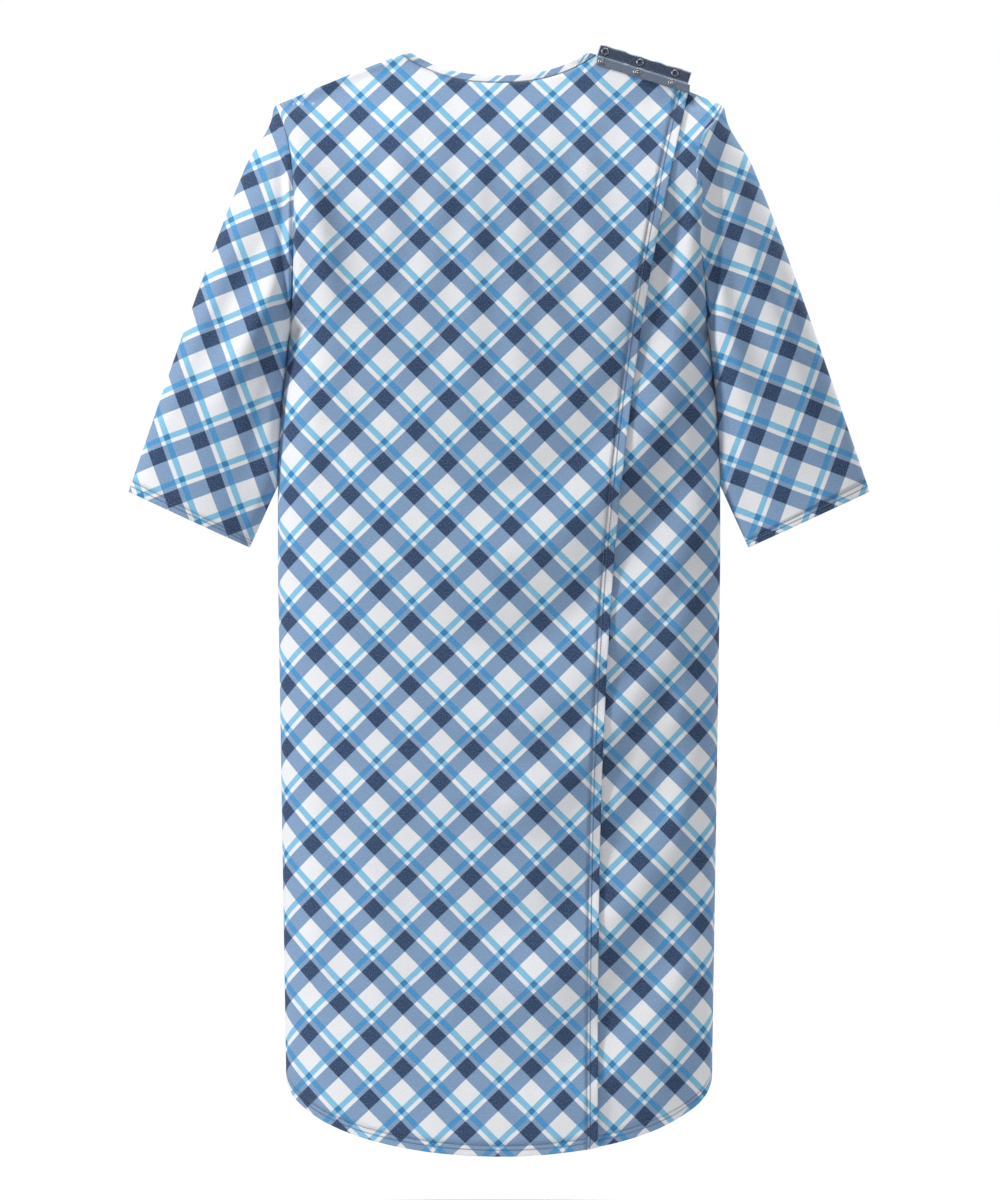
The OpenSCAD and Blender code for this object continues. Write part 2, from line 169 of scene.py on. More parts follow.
def settledFolds(seed):
    columns, rows = hang["columns"], hang["rows"]
    rng = np.random.default_rng(seed)
    across = (np.arange(columns) / (columns - 1) - 0.5) * hang["width"]
    down = -np.arange(rows) / (rows - 1) * hang["height"]
    points = np.zeros((rows, columns, 3))
    points[..., 0] = across[None, :]
    points[..., 2] = down[:, None]
    for k in range(hang["waves"]):
        tilt = rng.uniform(-0.5, 0.5)
        wave = rng.uniform(0.09, 0.22)
        start = rng.uniform(0, 2 * math.pi)
        path = (points[..., 0] + tilt * points[..., 2]) / wave * 2 * math.pi + start
        points[..., 1] += hang["waveHigh"] * np.sin(path)
    points[0, :, 1] = 0
    mesh = bpy.data.meshes.new("hanging")
    faces = []
    for i in range(rows - 1):
        for j in range(columns - 1):
            k = i * columns + j
            faces.append((k, k + 1, k + columns + 1, k + columns))
    mesh.from_pydata(points.reshape(-1, 3).tolist(), [], faces)
    cloth = bpy.data.objects.new("hanging", mesh)
    bpy.context.scene.collection.objects.link(cloth)
    held = cloth.vertex_groups.new(name="held")
    top = list(range(columns))
    sides = []
    for i in range(1, rows):
        sides += [i * columns, i * columns + columns - 1]
    held.add(top + sides, 1.0, "REPLACE")
    fall = cloth.modifiers.new("fall", "CLOTH")
    fall.settings.quality = 5
    fall.settings.mass = hang["mass"]
    fall.settings.tension_stiffness = hang["stretch"]
    fall.settings.compression_stiffness = hang["stretch"]
    fall.settings.shear_stiffness = hang["shear"]
    fall.settings.bending_stiffness = hang["bend"]
    fall.settings.air_damping = hang["air"]
    fall.settings.vertex_group_mass = "held"
    fall.settings.shrink_min = -hang["slack"]
    fall.collision_settings.use_collision = False
    fall.point_cache.frame_start = 1
    fall.point_cache.frame_end = hang["frames"]
    scene = bpy.context.scene
    for f in range(1, hang["frames"] + 1):
        scene.frame_set(f)
    seen = cloth.evaluated_get(bpy.context.evaluated_depsgraph_get())
    co = np.zeros(len(seen.data.vertices) * 3)
    seen.data.vertices.foreach_get("co", co)
    depth = co.reshape(rows, columns, 3)[..., 1] / mm
    scene.frame_set(1)
    bpy.data.objects.remove(cloth)
    bpy.data.meshes.remove(mesh)
    for k in range(2):
        wide = np.pad(depth, 1, mode="edge")
        near = wide[:-2, 1:-1] + wide[2:, 1:-1] + wide[1:-1, :-2] + wide[1:-1, 2:]
        depth = (near + 4 * wide[1:-1, 1:-1]) / 8
    return depth / max(1.0, np.abs(depth).max()) * hang["mostMm"]


foldMaps = {-1: settledFolds(11), 1: settledFolds(23)}
print("gown: hanging folds settled")


def sampled(grid, u, v):
    rows, columns = grid.shape
    x = np.clip(u, 0, 1) * (columns - 1)
    y = np.clip(v, 0, 1) * (rows - 1)
    i = np.minimum(y.astype(int), rows - 2)
    j = np.minimum(x.astype(int), columns - 2)
    fx = ease(x - j) * 0.5 + (x - j) * 0.5
    fy = ease(y - i) * 0.5 + (y - i) * 0.5
    low = mix(grid[i, j], grid[i, j + 1], fx)
    high = mix(grid[i + 1, j], grid[i + 1, j + 1], fx)
    return mix(low, high, fy)


# soft creases pulled by the seams: from x, z to x, z, then half width and height, in millimetres
creases = {
    -1: [
        (-214, -128, -176, -300, 13, 2.6),
        (-206, -205, -160, -420, 17, 2.2),
        (-226, -290, -196, -520, 14, 2.6),
        (-120, -40, -92, -170, 16, 1.4),
        (214, -118, 196, -300, 10, 3.4),
        (190, -150, 182, -330, 11, -2.6),
        (220, -262, 204, -480, 12, 2.8),
        (-214, -640, -205, -1060, 20, 2.6),
        (-150, -760, -120, -1130, 26, 2.2),
        (30, -700, 55, -1150, 30, 2.4),
        (206, -560, 190, -1040, 18, 2.6),
    ],
    1: [
        (-208, -120, -170, -330, 14, 3.0),
        (208, -120, 172, -340, 14, 3.0),
        (-220, -280, -180, -560, 17, 2.8),
        (220, -280, 184, -560, 17, 2.8),
        (-90, -560, -60, -1140, 30, 2.6),
        (100, -620, 130, -1140, 28, 2.6),
        (-200, -640, -190, -1080, 20, 2.4),
    ],
}


def folds(x, z, side):
    c = np.clip(x / halfWidth(z), -1, 1)
    v = -z / (hang["height"] / mm)
    settled = sampled(foldMaps[side], 0.5 + 0.5 * c, v)
    lines = np.zeros(np.shape(x))
    for x0, z0, x1, z1, wide, high in creases[side]:
        length = math.hypot(x1 - x0, z1 - z0)
        ax, az = (x1 - x0) / length, (z1 - z0) / length
        along = ((x - x0) * ax + (z - z0) * az) / length
        off = (x - x0) * az - (z - z0) * ax + 5 * np.sin(along * 4.2 + x0)
        taper = ease(along / 0.35 + 0.2) * ease((1 - along) / 0.45 + 0.1)
        lines = lines + high * taper * np.exp(-(off / wide) ** 2)
    fade = ease((1 - np.abs(c)) / 0.12) * ease((shoulderZ(x) - z - 18) / 120)
    return fade * (settled + lines * hang["creaseGain"])


def skin(x, z, out=0.0, lift=0.0, side=-1):
    x, z = np.broadcast_arrays(np.asarray(x, float), np.asarray(z, float))
    half = halfWidth(z)
    c = np.clip(x / half, -1, 1)
    n = np.sqrt(1 - c * c)
    g = np.sin(np.pi / 2 * np.clip((shoulderZ(x) - z - press) / roundH, 0, 1))
    near = 1 - ease((n - 0.25) / 0.4)
    a = mix(armSwell(z), armOpen(z), near) * (1 - ease((n - 0.2) / 0.8))
    y = slit + (cadCloth + out) * n + g * gown["bodyDepth"] / 2 * n + a
    y = y + out * np.minimum(1, armOpen(z) / 8) * (1 - n) + lift + folds(x, z, side)
    return np.stack([half * c, side * y, z], -1)


def neckX(w, j):
    return w * (gown["halfNeck"] + j * gown["binding"])


def neckZ(w, j, drop):
    low = -(drop + j * gown["binding"])
    high = shoulderZ(gown["halfNeck"] + j * gown["binding"])
    return mix(low, high, np.abs(w) ** 2.4)


# colours of the knit, as they look in even light
dye = {
    "white": "#eeeff2",
    "steel": "#829fc2",
    "navy": "#2a4468",
    "skyOnWhite": "#86c3e3",
    "skyOnSteel": "#4c93c9",
    "skyOnSky": "#3580b4",
    "repeat": 0.0496,      # metres from one stripe to the next
    "shiftA": 0.185,
    "shiftB": -0.004,
}


def linear(colour):
    parts = [int(colour[i:i + 2], 16) / 255 for i in (1, 3, 5)]
    return [p / 12.92 if p <= 0.04045 else ((p + 0.055) / 1.055) ** 2.4 for p in parts] + [1.0]


def addNode(tree, kind, inputs=None, **settings):
    node = tree.nodes.new(kind)
    for name, value in settings.items():
        setattr(node, name, value)
    for key, value in (inputs or {}).items():
        if isinstance(value, bpy.types.NodeSocket):
            tree.links.new(value, node.inputs[key])
        else:
            node.inputs[key].default_value = value
    return node


def newMaterial(name):
    material = bpy.data.materials.new(name)
    material.use_nodes = True
    tree = material.node_tree
    tree.nodes.clear()
    surface = addNode(tree, "ShaderNodeBsdfPrincipled")
    addNode(tree, "ShaderNodeOutputMaterial", {"Surface": surface.outputs["BSDF"]})
    return material, tree, surface


# edges of the dyed stripes across one repeat: where steel and sky begin and end
stripes = {
    "A": {"steel": (0.455, 0.795), "sky": (0.239, 0.365)},
    "B": {"steel": (0.625, 0.972), "sky": (0.065, 0.200)},
}
# the brushed knit itself; scales are noise cells to the metre
knit = {
    "threadScale": 900.0,  # single threads that roughen a stripe's edge
    "threadWander": 0.016,
    "bowScale": 14.0,      # slow bowing of the stripes
    "bowWander": 0.05,
    "soft": 0.014,         # softness of a stripe's edge, as a share of the repeat
    "fleckScale": 1000.0,
    "ribScale": 180.0,
    "slackScale": 38.0,
    "puckerScale": 210.0,
    "tips": "#e9edf3",
}


def plaidMaterial(name, pale=0.0, stitched=False):
    material, tree, surface = newMaterial(name)
    weave = addNode(tree, "ShaderNodeUVMap", uv_map="weave").outputs["UV"]
    soft = addNode(tree, "ShaderNodeTexNoise",
        {"Vector": weave, "Scale": knit["threadScale"], "Detail": 1.0})
    softer = addNode(tree, "ShaderNodeTexNoise",
        {"Vector": weave, "Scale": knit["bowScale"], "Detail": 1.0})
    apart = addNode(tree, "ShaderNodeSeparateXYZ", {"Vector": weave})
    masks = {}
    for key, sign in (("A", -1.0), ("B", 1.0)):
        both = addNode(tree, "ShaderNodeMath", {0: apart.outputs["Y"], 1: sign, 2: apart.outputs["X"]},
            operation="MULTIPLY_ADD")
        perRepeat = 1 / (math.sqrt(2) * dye["repeat"])
        phase = addNode(tree, "ShaderNodeMath", {0: both.outputs[0], 1: perRepeat, 2: dye["shift" + key]},
            operation="MULTIPLY_ADD")
        rough = addNode(tree, "ShaderNodeMath",
            {0: soft.outputs["Fac"], 1: knit["threadWander"], 2: phase.outputs[0]},
            operation="MULTIPLY_ADD")
        wander = addNode(tree, "ShaderNodeMath",
            {0: softer.outputs["Fac"], 1: knit["bowWander"], 2: rough.outputs[0]}, operation="MULTIPLY_ADD")
        turn = addNode(tree, "ShaderNodeMath", {0: wander.outputs[0]}, operation="FRACT")
        ramp = addNode(tree, "ShaderNodeValToRGB", {"Fac": turn.outputs[0]})
        band = ramp.color_ramp
        stops = [(0.0, (0, 0, 0, 1))]
        for kind, colour in (("sky", (0, 1, 0, 1)), ("steel", (1, 0, 0, 1))):
            a, b = stripes[key][kind]
            after = min(0.999, b + knit["soft"])
            stops += [(a, (0, 0, 0, 1)), (a + knit["soft"], colour), (b, colour), (after, (0, 0, 0, 1))]
        band.elements[0].position, band.elements[0].color = stops[0]
        band.elements[1].position, band.elements[1].color = stops[-1]
        for position, colour in stops[1:-1]:
            band.elements.new(position).color = colour
        masks[key] = addNode(tree, "ShaderNodeSeparateColor", {"Color": ramp.outputs["Color"]})
    steelA, steelB = masks["A"].outputs["Red"], masks["B"].outputs["Red"]
    skyA, skyB = masks["A"].outputs["Green"], masks["B"].outputs["Green"]
    steel = addNode(tree, "ShaderNodeMath", {0: steelA, 1: steelB}, operation="MAXIMUM").outputs[0]
    navy = addNode(tree, "ShaderNodeMath", {0: steelA, 1: steelB}, operation="MULTIPLY").outputs[0]
    sky = addNode(tree, "ShaderNodeMath", {0: skyA, 1: skyB}, operation="MAXIMUM").outputs[0]
    skySky = addNode(tree, "ShaderNodeMath", {0: skyA, 1: skyB}, operation="MULTIPLY").outputs[0]
    cross = addNode(tree, "ShaderNodeMath", {0: skyA, 1: steelB}, operation="MULTIPLY").outputs[0]
    skySteel = addNode(tree, "ShaderNodeMath", {0: skyB, 1: steelA, 2: cross},
        operation="MULTIPLY_ADD").outputs[0]
    colour = linear(dye["white"])
    printed = ((steel, "steel"), (navy, "navy"), (sky, "skyOnWhite"), (skySteel, "skyOnSteel"),
        (skySky, "skyOnSky"))
    for amount, dyed in printed:
        layer = addNode(tree, "ShaderNodeMix", {0: amount, 6: colour, 7: linear(dye[dyed])},
            data_type="RGBA")
        colour = layer.outputs[2]
    # brushed knit: pale fibre tips over the dye, in short upright flecks
    stretch = addNode(tree, "ShaderNodeMapping", {"Vector": weave, "Scale": (1.0, 0.55, 1.0)})
    fleck = addNode(tree, "ShaderNodeTexNoise",
        {"Vector": stretch.outputs["Vector"], "Scale": knit["fleckScale"], "Detail": 2.0, "Roughness": 0.7})
    tips = addNode(tree, "ShaderNodeMapRange",
        {"Value": fleck.outputs["Fac"], "From Min": 0.46, "From Max": 0.74, "To Min": pale,
            "To Max": pale + 0.14})
    fibre = linear(knit["tips"])
    brushed = addNode(tree, "ShaderNodeMix", {0: tips.outputs["Result"], 6: colour, 7: fibre},
        data_type="RGBA")
    shade = addNode(tree, "ShaderNodeMapRange",
        {"Value": fleck.outputs["Fac"], "From Min": 0.25, "From Max": 0.6, "To Min": 0.86, "To Max": 1.0})
    dimmed = {0: brushed.outputs[2], "Scale": shade.outputs["Result"]}
    finish = addNode(tree, "ShaderNodeVectorMath", dimmed, operation="SCALE").outputs["Vector"]
    # fine ribs of the knit and the small slack waves between them
    ribs = addNode(tree, "ShaderNodeTexWave",
        {"Vector": weave, "Scale": knit["ribScale"], "Distortion": 1.2, "Detail": 1.0,
            "Detail Scale": 3.0}, bands_direction="X")
    waves = addNode(tree, "ShaderNodeTexNoise",
        {"Vector": weave, "Scale": knit["slackScale"], "Detail": 2.0, "Roughness": 0.55})
    ribbed = addNode(tree, "ShaderNodeBump", {"Height": ribs.outputs["Fac"], "Strength": 0.35,
            "Distance": 0.0002})
    pile = addNode(tree, "ShaderNodeBump", {"Height": fleck.outputs["Fac"], "Strength": 0.5,
            "Distance": 0.0004, "Normal": ribbed.outputs["Normal"]})
    slack = addNode(tree, "ShaderNodeBump", {"Height": waves.outputs["Fac"], "Strength": 0.5,
            "Distance": 0.0022, "Normal": pile.outputs["Normal"]})
    normal = slack.outputs["Normal"]
    if stitched:
        # the thread pulls a shallow furrow along each row and puckers the cloth beside it; the furrow is
        # also darkened with painted shade
        edge = addNode(tree, "ShaderNodeUVMap", uv_map="edge")
        way = addNode(tree, "ShaderNodeSeparateXYZ", {"Vector": edge.outputs["UV"]})
        furrow = None
        for row in stitched:
            away = addNode(tree, "ShaderNodeMath", {0: way.outputs["Y"], 1: row * mm}, operation="SUBTRACT")
            near = addNode(tree, "ShaderNodeMath", {0: away.outputs[0]}, operation="ABSOLUTE")
            dip = addNode(tree, "ShaderNodeMapRange",
                {"Value": near.outputs[0], "From Min": 0.0002, "From Max": 0.0013, "To Min": 0.0,
                    "To Max": 1.0}, interpolation_type="SMOOTHSTEP")
            if furrow is None:
                furrow = dip.outputs["Result"]
            else:
                furrow = addNode(tree, "ShaderNodeMath", {0: furrow, 1: dip.outputs["Result"]},
                    operation="MULTIPLY").outputs[0]
        # painted shade: the colour is darkened in each stitch furrow, where shade would fall
        dark = addNode(tree, "ShaderNodeMapRange", {"Value": furrow, "To Min": 0.66, "To Max": 1.0})
        shadowed = {0: finish, "Scale": dark.outputs["Result"]}
        finish = addNode(tree, "ShaderNodeVectorMath", shadowed, operation="SCALE").outputs["Vector"]
        pucker = addNode(tree, "ShaderNodeTexNoise",
            {"Vector": edge.outputs["UV"], "Scale": knit["puckerScale"], "Detail": 1.0})
        pulled = addNode(tree, "ShaderNodeBump",
            {"Height": pucker.outputs["Fac"], "Strength": 0.4, "Distance": 0.0010, "Normal": normal})
        sunk = addNode(tree, "ShaderNodeBump",
            {"Height": furrow, "Strength": 0.9, "Distance": 0.0006, "Normal": pulled.outputs["Normal"]})
        normal = sunk.outputs["Normal"]
    tree.links.new(finish, surface.inputs["Base Color"])
    tree.links.new(normal, surface.inputs["Normal"])
    surface.inputs["Roughness"].default_value = 0.92
    surface.inputs["Specular IOR Level"].default_value = 0.18
    surface.inputs["Sheen Weight"].default_value = 0.16
    surface.inputs["Sheen Roughness"].default_value = 0.5
    return material


# the printed face: soft and matt, without shine
brushedPlaid = plaidMaterial("brushed_plaid_knit")
# the inside, where the print shows through pale
insidePlaid = plaidMaterial("inside_of_knit", pale=0.42)
# hems, facings and bindings: the printed face with painted shade darkening the furrow along each row of
# stitches
stitchedHem = plaidMaterial("turned_hem_knit", stitched=(6.9, 12.2))
stitchedFacing = plaidMaterial("turned_edge_knit", stitched=(8.4, 12.3))
stitchedBinding = plaidMaterial("bias_binding_knit", stitched=(7.2,))


def plainCloth(name, colour, scale, depth, pale=0.12):
    material, tree, surface = newMaterial(name)
    weave = addNode(tree, "ShaderNodeUVMap", uv_map="weave").outputs["UV"]
    thread = addNode(tree, "ShaderNodeTexNoise",
        {"Vector": weave, "Scale": scale, "Detail": 3.0, "Roughness": 0.7})
    tips = addNode(tree, "ShaderNodeMapRange",
        {"Value": thread.outputs["Fac"], "From Min": 0.42, "From Max": 0.72, "To Min": 0.0, "To Max": pale})
    worn = linear("#c9d3e0")
    tint = addNode(tree, "ShaderNodeMix", {0: tips.outputs["Result"], 6: linear(colour), 7: worn},
        data_type="RGBA")
    rib = addNode(tree, "ShaderNodeTexWave", {"Vector": weave, "Scale": 240.0,
            "Distortion": 0.8}, bands_direction="DIAGONAL")
    twill = addNode(tree, "ShaderNodeBump", {"Height": rib.outputs["Fac"], "Strength": 0.5,
            "Distance": depth})
    nap = addNode(tree, "ShaderNodeBump", {"Height": thread.outputs["Fac"], "Strength": 0.6,
            "Distance": depth, "Normal": twill.outputs["Normal"]})
    tree.links.new(tint.outputs[2], surface.inputs["Base Color"])
    tree.links.new(nap.outputs["Normal"], surface.inputs["Normal"])
    surface.inputs["Roughness"].default_value = 0.9
    surface.inputs["Sheen Weight"].default_value = 0.2
    return material


# firm dark tape behind the snaps
navyTwill = plainCloth("navy_twill_tape", "#24344f", 900.0, 0.0003, pale=0.2)
# the paler, dusty tape on the flap
greyTwill = plainCloth("grey_twill_tape", "#5f6a7b", 900.0, 0.0003, pale=0.3)
# cut edges held by pale overlock thread
overlocked = plainCloth("overlocked_allowance", "#c6d2e0", 1300.0, 0.0004)


def threadMaterial(name, colour):
    material, tree, surface = newMaterial(name)
    place = addNode(tree, "ShaderNodeTexCoord")
    ply = addNode(tree, "ShaderNodeTexNoise",
        {"Vector": place.outputs["Object"], "Scale": 2600.0, "Detail": 1.0})
    twist = addNode(tree, "ShaderNodeBump", {"Height": ply.outputs["Fac"], "Strength": 0.4,
            "Distance": 0.0001})
    tree.links.new(twist.outputs["Normal"], surface.inputs["Normal"])
    surface.inputs["Base Color"].default_value = linear(colour)
    surface.inputs["Roughness"].default_value = 0.6
    surface.inputs["Sheen Weight"].default_value = 0.2
    return material


sewingThread = threadMaterial("steel_blue_thread", "#6b7f9e")   # slightly darker than the steel stripe


def metalMaterial(name, colour, rough):
    material, tree, surface = newMaterial(name)
    place = addNode(tree, "ShaderNodeTexCoord")
    wear = addNode(tree, "ShaderNodeTexNoise",
        {"Vector": place.outputs["Object"], "Scale": 900.0, "Detail": 3.0})
    dull = addNode(tree, "ShaderNodeMapRange",
        {"Value": wear.outputs["Fac"], "From Min": 0.35, "From Max": 0.7, "To Min": rough,
            "To Max": rough + 0.22})
    tree.links.new(dull.outputs["Result"], surface.inputs["Roughness"])
    surface.inputs["Base Color"].default_value = linear(colour)
    surface.inputs["Metallic"].default_value = 1.0
    return material


snapNickel = metalMaterial("nickel_snap", "#a9adb3",
    0.26)      # pressed ring snaps, bright with handling dulling
print("gown: materials ready")


def linkMesh(name, points, faces, material, smooth=True):
    mesh = bpy.data.meshes.new(name)
    mesh.from_pydata(np.asarray(points).tolist(), [], faces)
    mesh.materials.append(material)
    mesh.polygons.foreach_set("use_smooth", [smooth] * len(mesh.polygons))
    obj = bpy.data.objects.new(name, mesh)
    bpy.context.scene.collection.objects.link(obj)
    return obj


def normalsOf(points, loop=False):
    if loop:
        du = np.roll(points, -1, 1) - np.roll(points, 1, 1)
    else:
        du = np.gradient(points, axis=1)
    dv = np.gradient(points, axis=0)
    n = np.cross(dv, du)
    return n / np.maximum(1e-9, np.linalg.norm(n, axis=-1, keepdims=True))


def setUv(mesh, name, perVertex):
    layer = mesh.uv_layers.new(name=name)
    index = np.zeros(len(mesh.loops), int)
    mesh.loops.foreach_get("vertex_index", index)
    layer.data.foreach_set("uv", np.asarray(perVertex, float)[index].ravel())


# a sheet of cloth with a face, an inside and closed edges, from a grid of face points in millimetres
def clothSheet(name, points, weave, thickness, outside, inside, side=-1, rounded=None, edge=None,
        loop=False):
    rows, columns = points.shape[:2]
    normal = normalsOf(points, loop)
    faceWay = np.sign((normal[..., 1] * side).sum()) if not loop else 1
    if loop:
        centre = points.mean(axis=1, keepdims=True)
        faceWay = np.sign((normal * (points - centre)).sum())
    normal = normal * faceWay
    inner = points - normal * thickness
    strips = [points]
    weaves = [weave]
    edges = [edge if edge is not None else weave]
    if rounded:
        along = points[-1] - points[-2]
        along = along / np.maximum(1e-9, np.linalg.norm(along, axis=-1, keepdims=True))
        middle = (points[-1] + inner[-1]) / 2
        reach = (points[-1] - inner[-1]) / 2
        arc = []
        for k in range(1, 4):
            turn = math.pi * k / 4
            arc.append(middle + reach * math.cos(turn) + along * math.sin(turn) * thickness / 2)
        strips.append(np.array(arc))
        weaves.append(np.repeat(weave[-1:], 3, 0))
        edges.append(np.repeat(edges[0][-1:], 3, 0))
    strips.append(inner[::-1])
    weaves.append(weave[::-1])
    edges.append(edges[0][::-1])
    path = np.concatenate(strips)
    uv = np.concatenate(weaves)
    edgeUv = np.concatenate(edges)
    total = path.shape[0]
    faces = []
    marks = []
    spans = columns if loop else columns - 1
    flip = faceWay < 0
    for i in range(total):
        for j in range(spans):
            a = i * columns + j
            b = i * columns + (j + 1) % columns
            c = ((i + 1) % total) * columns + (j + 1) % columns
            d = ((i + 1) % total) * columns + j
            faces.append((a, d, c, b) if flip else (a, b, c, d))
            marks.append(0 if i < rows + (3 if rounded else 0) else 1)
    if not loop:
        for i in range(rows - 1):
            for j, turned in ((0, False), (columns - 1, True)):
                a = i * columns + j
                b = (i + 1) * columns + j
                c = (total - 2 - i) * columns + j
                d = (total - 1 - i) * columns + j
                quad = (a, b, c, d) if turned == flip else (d, c, b, a)
                faces.append(quad)
                marks.append(0)
        if rounded:
            for j, turned in ((0, False), (columns - 1, True)):
                ring = [(rows - 1 + k) * columns + j for k in range(5)]
                faces.append(tuple(ring) if turned == flip else tuple(reversed(ring)))
                marks.append(0)
    obj = linkMesh(name, path.reshape(-1, 3) * mm, faces, outside)
    obj.data.materials.append(inside)
    obj.data.polygons.foreach_set("material_index", marks)
    setUv(obj.data, "weave", uv.reshape(-1, 2) * mm)
    if edge is not None:
        setUv(obj.data, "edge", edgeUv.reshape(-1, 2) * mm)
    return obj


def arcAcross(points):
    steps = np.linalg.norm(np.diff(points, axis=1), axis=-1)
    return np.concatenate([np.zeros((points.shape[0], 1)), np.cumsum(steps, 1)], 1)


# the weave runs straight down; across it follows the cloth from the middle line outward
def bodyWeave(points, x, z, side, shift=(0, 0, 0, 0)):
    stations = np.linspace(-1, 1, 161)
    half = np.full(161, gown["halfChest"])
    bow = gown["bodyDepth"] / 2 * np.sqrt(1 - stations ** 2)
    run = np.concatenate([[0], np.cumsum(np.hypot(np.diff(stations) * half[1:], np.diff(bow)))])
    run = run - run[80]
    u = np.interp(np.clip(x / halfWidth(z), -1, 1), stations, run) * halfWidth(z) / gown["halfChest"]
    lean, close = shift[2:]
    return np.stack([-u * side + shift[0] + lean * (z + 600), z + shift[1] + close * (z + 600)], -1)


# rows down the body, close together under the shoulder and the neck
rowsV = np.concatenate([np.linspace(0, 0.1, 26)[:-1], np.linspace(0.1, 1, 160)])


def topOf(x, drop):
    w = np.abs(x) / foldTop
    return np.where(w < 1, neckZ(np.minimum(w, 1), 1, drop), shoulderZ(x))


def hemTop(x):
    return hemZ(x) + hemH


# front panel and its hem
frontShift = (13, 21, 0, 0.015)  # where the plaid starts, across and down, and how it leans and closes up
acrossC = np.sin(np.linspace(-np.pi / 2, np.pi / 2, 100))
corner = foldTop / halfShoulder
acrossC[np.argmin(np.abs(acrossC - corner))] = corner
acrossC[np.argmin(np.abs(acrossC + corner))] = -corner
c, v = np.meshgrid(acrossC, rowsV)
z = mix(topOf(c * halfShoulder, gown["neckFront"]), hemTop(c * gown["halfHem"]), v)
x = c * halfWidth(z)
frontPoints = skin(x, z, side=1)
frontPanel = clothSheet("frontPanel", frontPoints, bodyWeave(frontPoints, x, z, 1, frontShift),
    gown["cloth"], brushedPlaid, insidePlaid, side=1)


def hemBand(name, x, lift, side, shift, bottom=hemZ, top=hemTop):
    v = np.linspace(0, 1, 9)[:, None]
    x = np.broadcast_to(x, (9, len(x)))
    z = mix(top(x), bottom(x) + gown["turned"] / 2, v)
    points = skin(x, z, lift=lift, side=side)
    ripple = 0.25 * np.sin(x / 5.1 + 2 * np.sin(x / 23)) * np.sin(np.pi * np.clip(v, 0, 1))
    points[..., 1] += side * ripple
    edge = np.stack([x, (1 - v) * hemH + 0 * x], -1)
    band = clothSheet(name, points, bodyWeave(points, x, z, side, shift), gown["turned"], stitchedHem,
        insidePlaid, side=side, rounded=True, edge=edge)
    return band, points


frontHem, frontHemPoints = hemBand("frontHem", acrossC * gown["halfHem"], 0, 1, frontShift)


# neck bindings: narrow bias strips folded over the cut edge
def bindingBand(name, w, drop, lift, side):
    v = np.linspace(0, 1, 7)[:, None]
    w = np.broadcast_to(w, (7, len(w)))
    away = 1 - v
    roll = 0.7 * np.sin(np.pi * np.clip(v * 0.5 + 0.12, 0, 0.5))
    points = skin(neckX(w, away), neckZ(w, away, drop), lift=lift + roll, side=side)
    run = arcAcross(points)
    along = run - run[:, :1]
    h = away * gown["binding"] + 0 * along
    across = h + 16
    bias = np.stack([(along + across) / math.sqrt(2), (across - along) / math.sqrt(2)], -1)
    edge = np.stack([along, h + 0 * along], -1)
    band = clothSheet(name, points, bias, 2.0, stitchedBinding, stitchedBinding, side=side, rounded=True,
        edge=edge)
    return band, points


wFull = np.sin(np.linspace(-np.pi / 2, np.pi / 2, 120))
frontBinding, frontBindingPoints = bindingBand("frontNeckBinding", wFull, gown["neckFront"], 0, 1)

# fold lines of the back and the free edges
foldZ0 = float(shoulderZ(foldTop))
foldZ1 = float(hemTop(gown["foldLow"]))
lapSlope = 0.8 * (foldZ0 - float(shoulderZ(gown["edgeTop"]))) / (gown["edgeTop"] - foldTop)


def foldX(z):
    return mix(foldTop, gown["foldLow"], np.clip((z - foldZ0) / (foldZ1 - foldZ0), 0, 1))


def flapTop(x):
    return foldZ0 - 1 - lapSlope * (x - foldTop)


def edgeX(v):
    return gown["edgeLow"] + (gown["edgeTop"] - gown["edgeLow"]) * (1 - v) ** 2.9


def outerTop(x):
    w = np.clip(x / foldTop, -1, 1)
    return np.where(x < foldTop, neckZ(w, 1, gown["neckBack"]), flapTop(x))


# the outer back: the fixed left side and the flap are one cloth, meeting at the fold line
outerShift = (-4.4, 3.3, -0.0217, 0.0167)
uLeft = np.sin(np.linspace(0, np.pi / 2, 26))
uLeft = 1 - uLeft[::-1]
uMid = np.linspace(0, 1, 46)[1:]
uRight = np.linspace(0, 1, 22)[1:]
v = rowsV[:, None]


def outerGrid(v, upper, lower, shelf):
    fold = foldX(mix(foldZ0, foldZ1, v))
    wide = edgeX(v) - shelf
    bend = 2 * foldTop / (gown["edgeTop"] - shelf + foldTop)
    xs = []
    lifts = []
    for part, count in ((uLeft, 0), (uMid, 1), (uRight, 2)):
        part = part[None, :]
        if count == 0:
            xTop = mix(-halfShoulder, -foldTop, part)
            xLow = mix(-gown["halfHem"], -gown["foldLow"], part)
            z = mix(shoulderZ(xTop), lower(xLow), v)
            x = mix(-halfWidth(z), -fold, part)
            lift = gown["layer"] * ease(part) * mix(ease((shoulderZ(xTop) - z) / 60), 1, part)
        else:
            u = part * bend if count == 1 else mix(bend, 1, part)
            xTop = mix(-foldTop, gown["edgeTop"] - shelf, u)
            xLow = mix(-gown["foldLow"], gown["edgeLow"] - shelf, u)
            z = mix(upper(xTop), lower(xLow), v)
            x = mix(-fold, wide, u)
            lift = gown["layer"] + 0 * x
        xs.append((x, z, lift))
    return [np.concatenate([p[k] for p in xs], 1) for k in range(3)]


x, z, lift = outerGrid(v, outerTop, hemTop, hemH)
outerPoints = skin(x, z, lift=lift)
outerBack = clothSheet("outerBack", outerPoints, bodyWeave(outerPoints, x, z, -1, outerShift),
    gown["cloth"], brushedPlaid, insidePlaid)


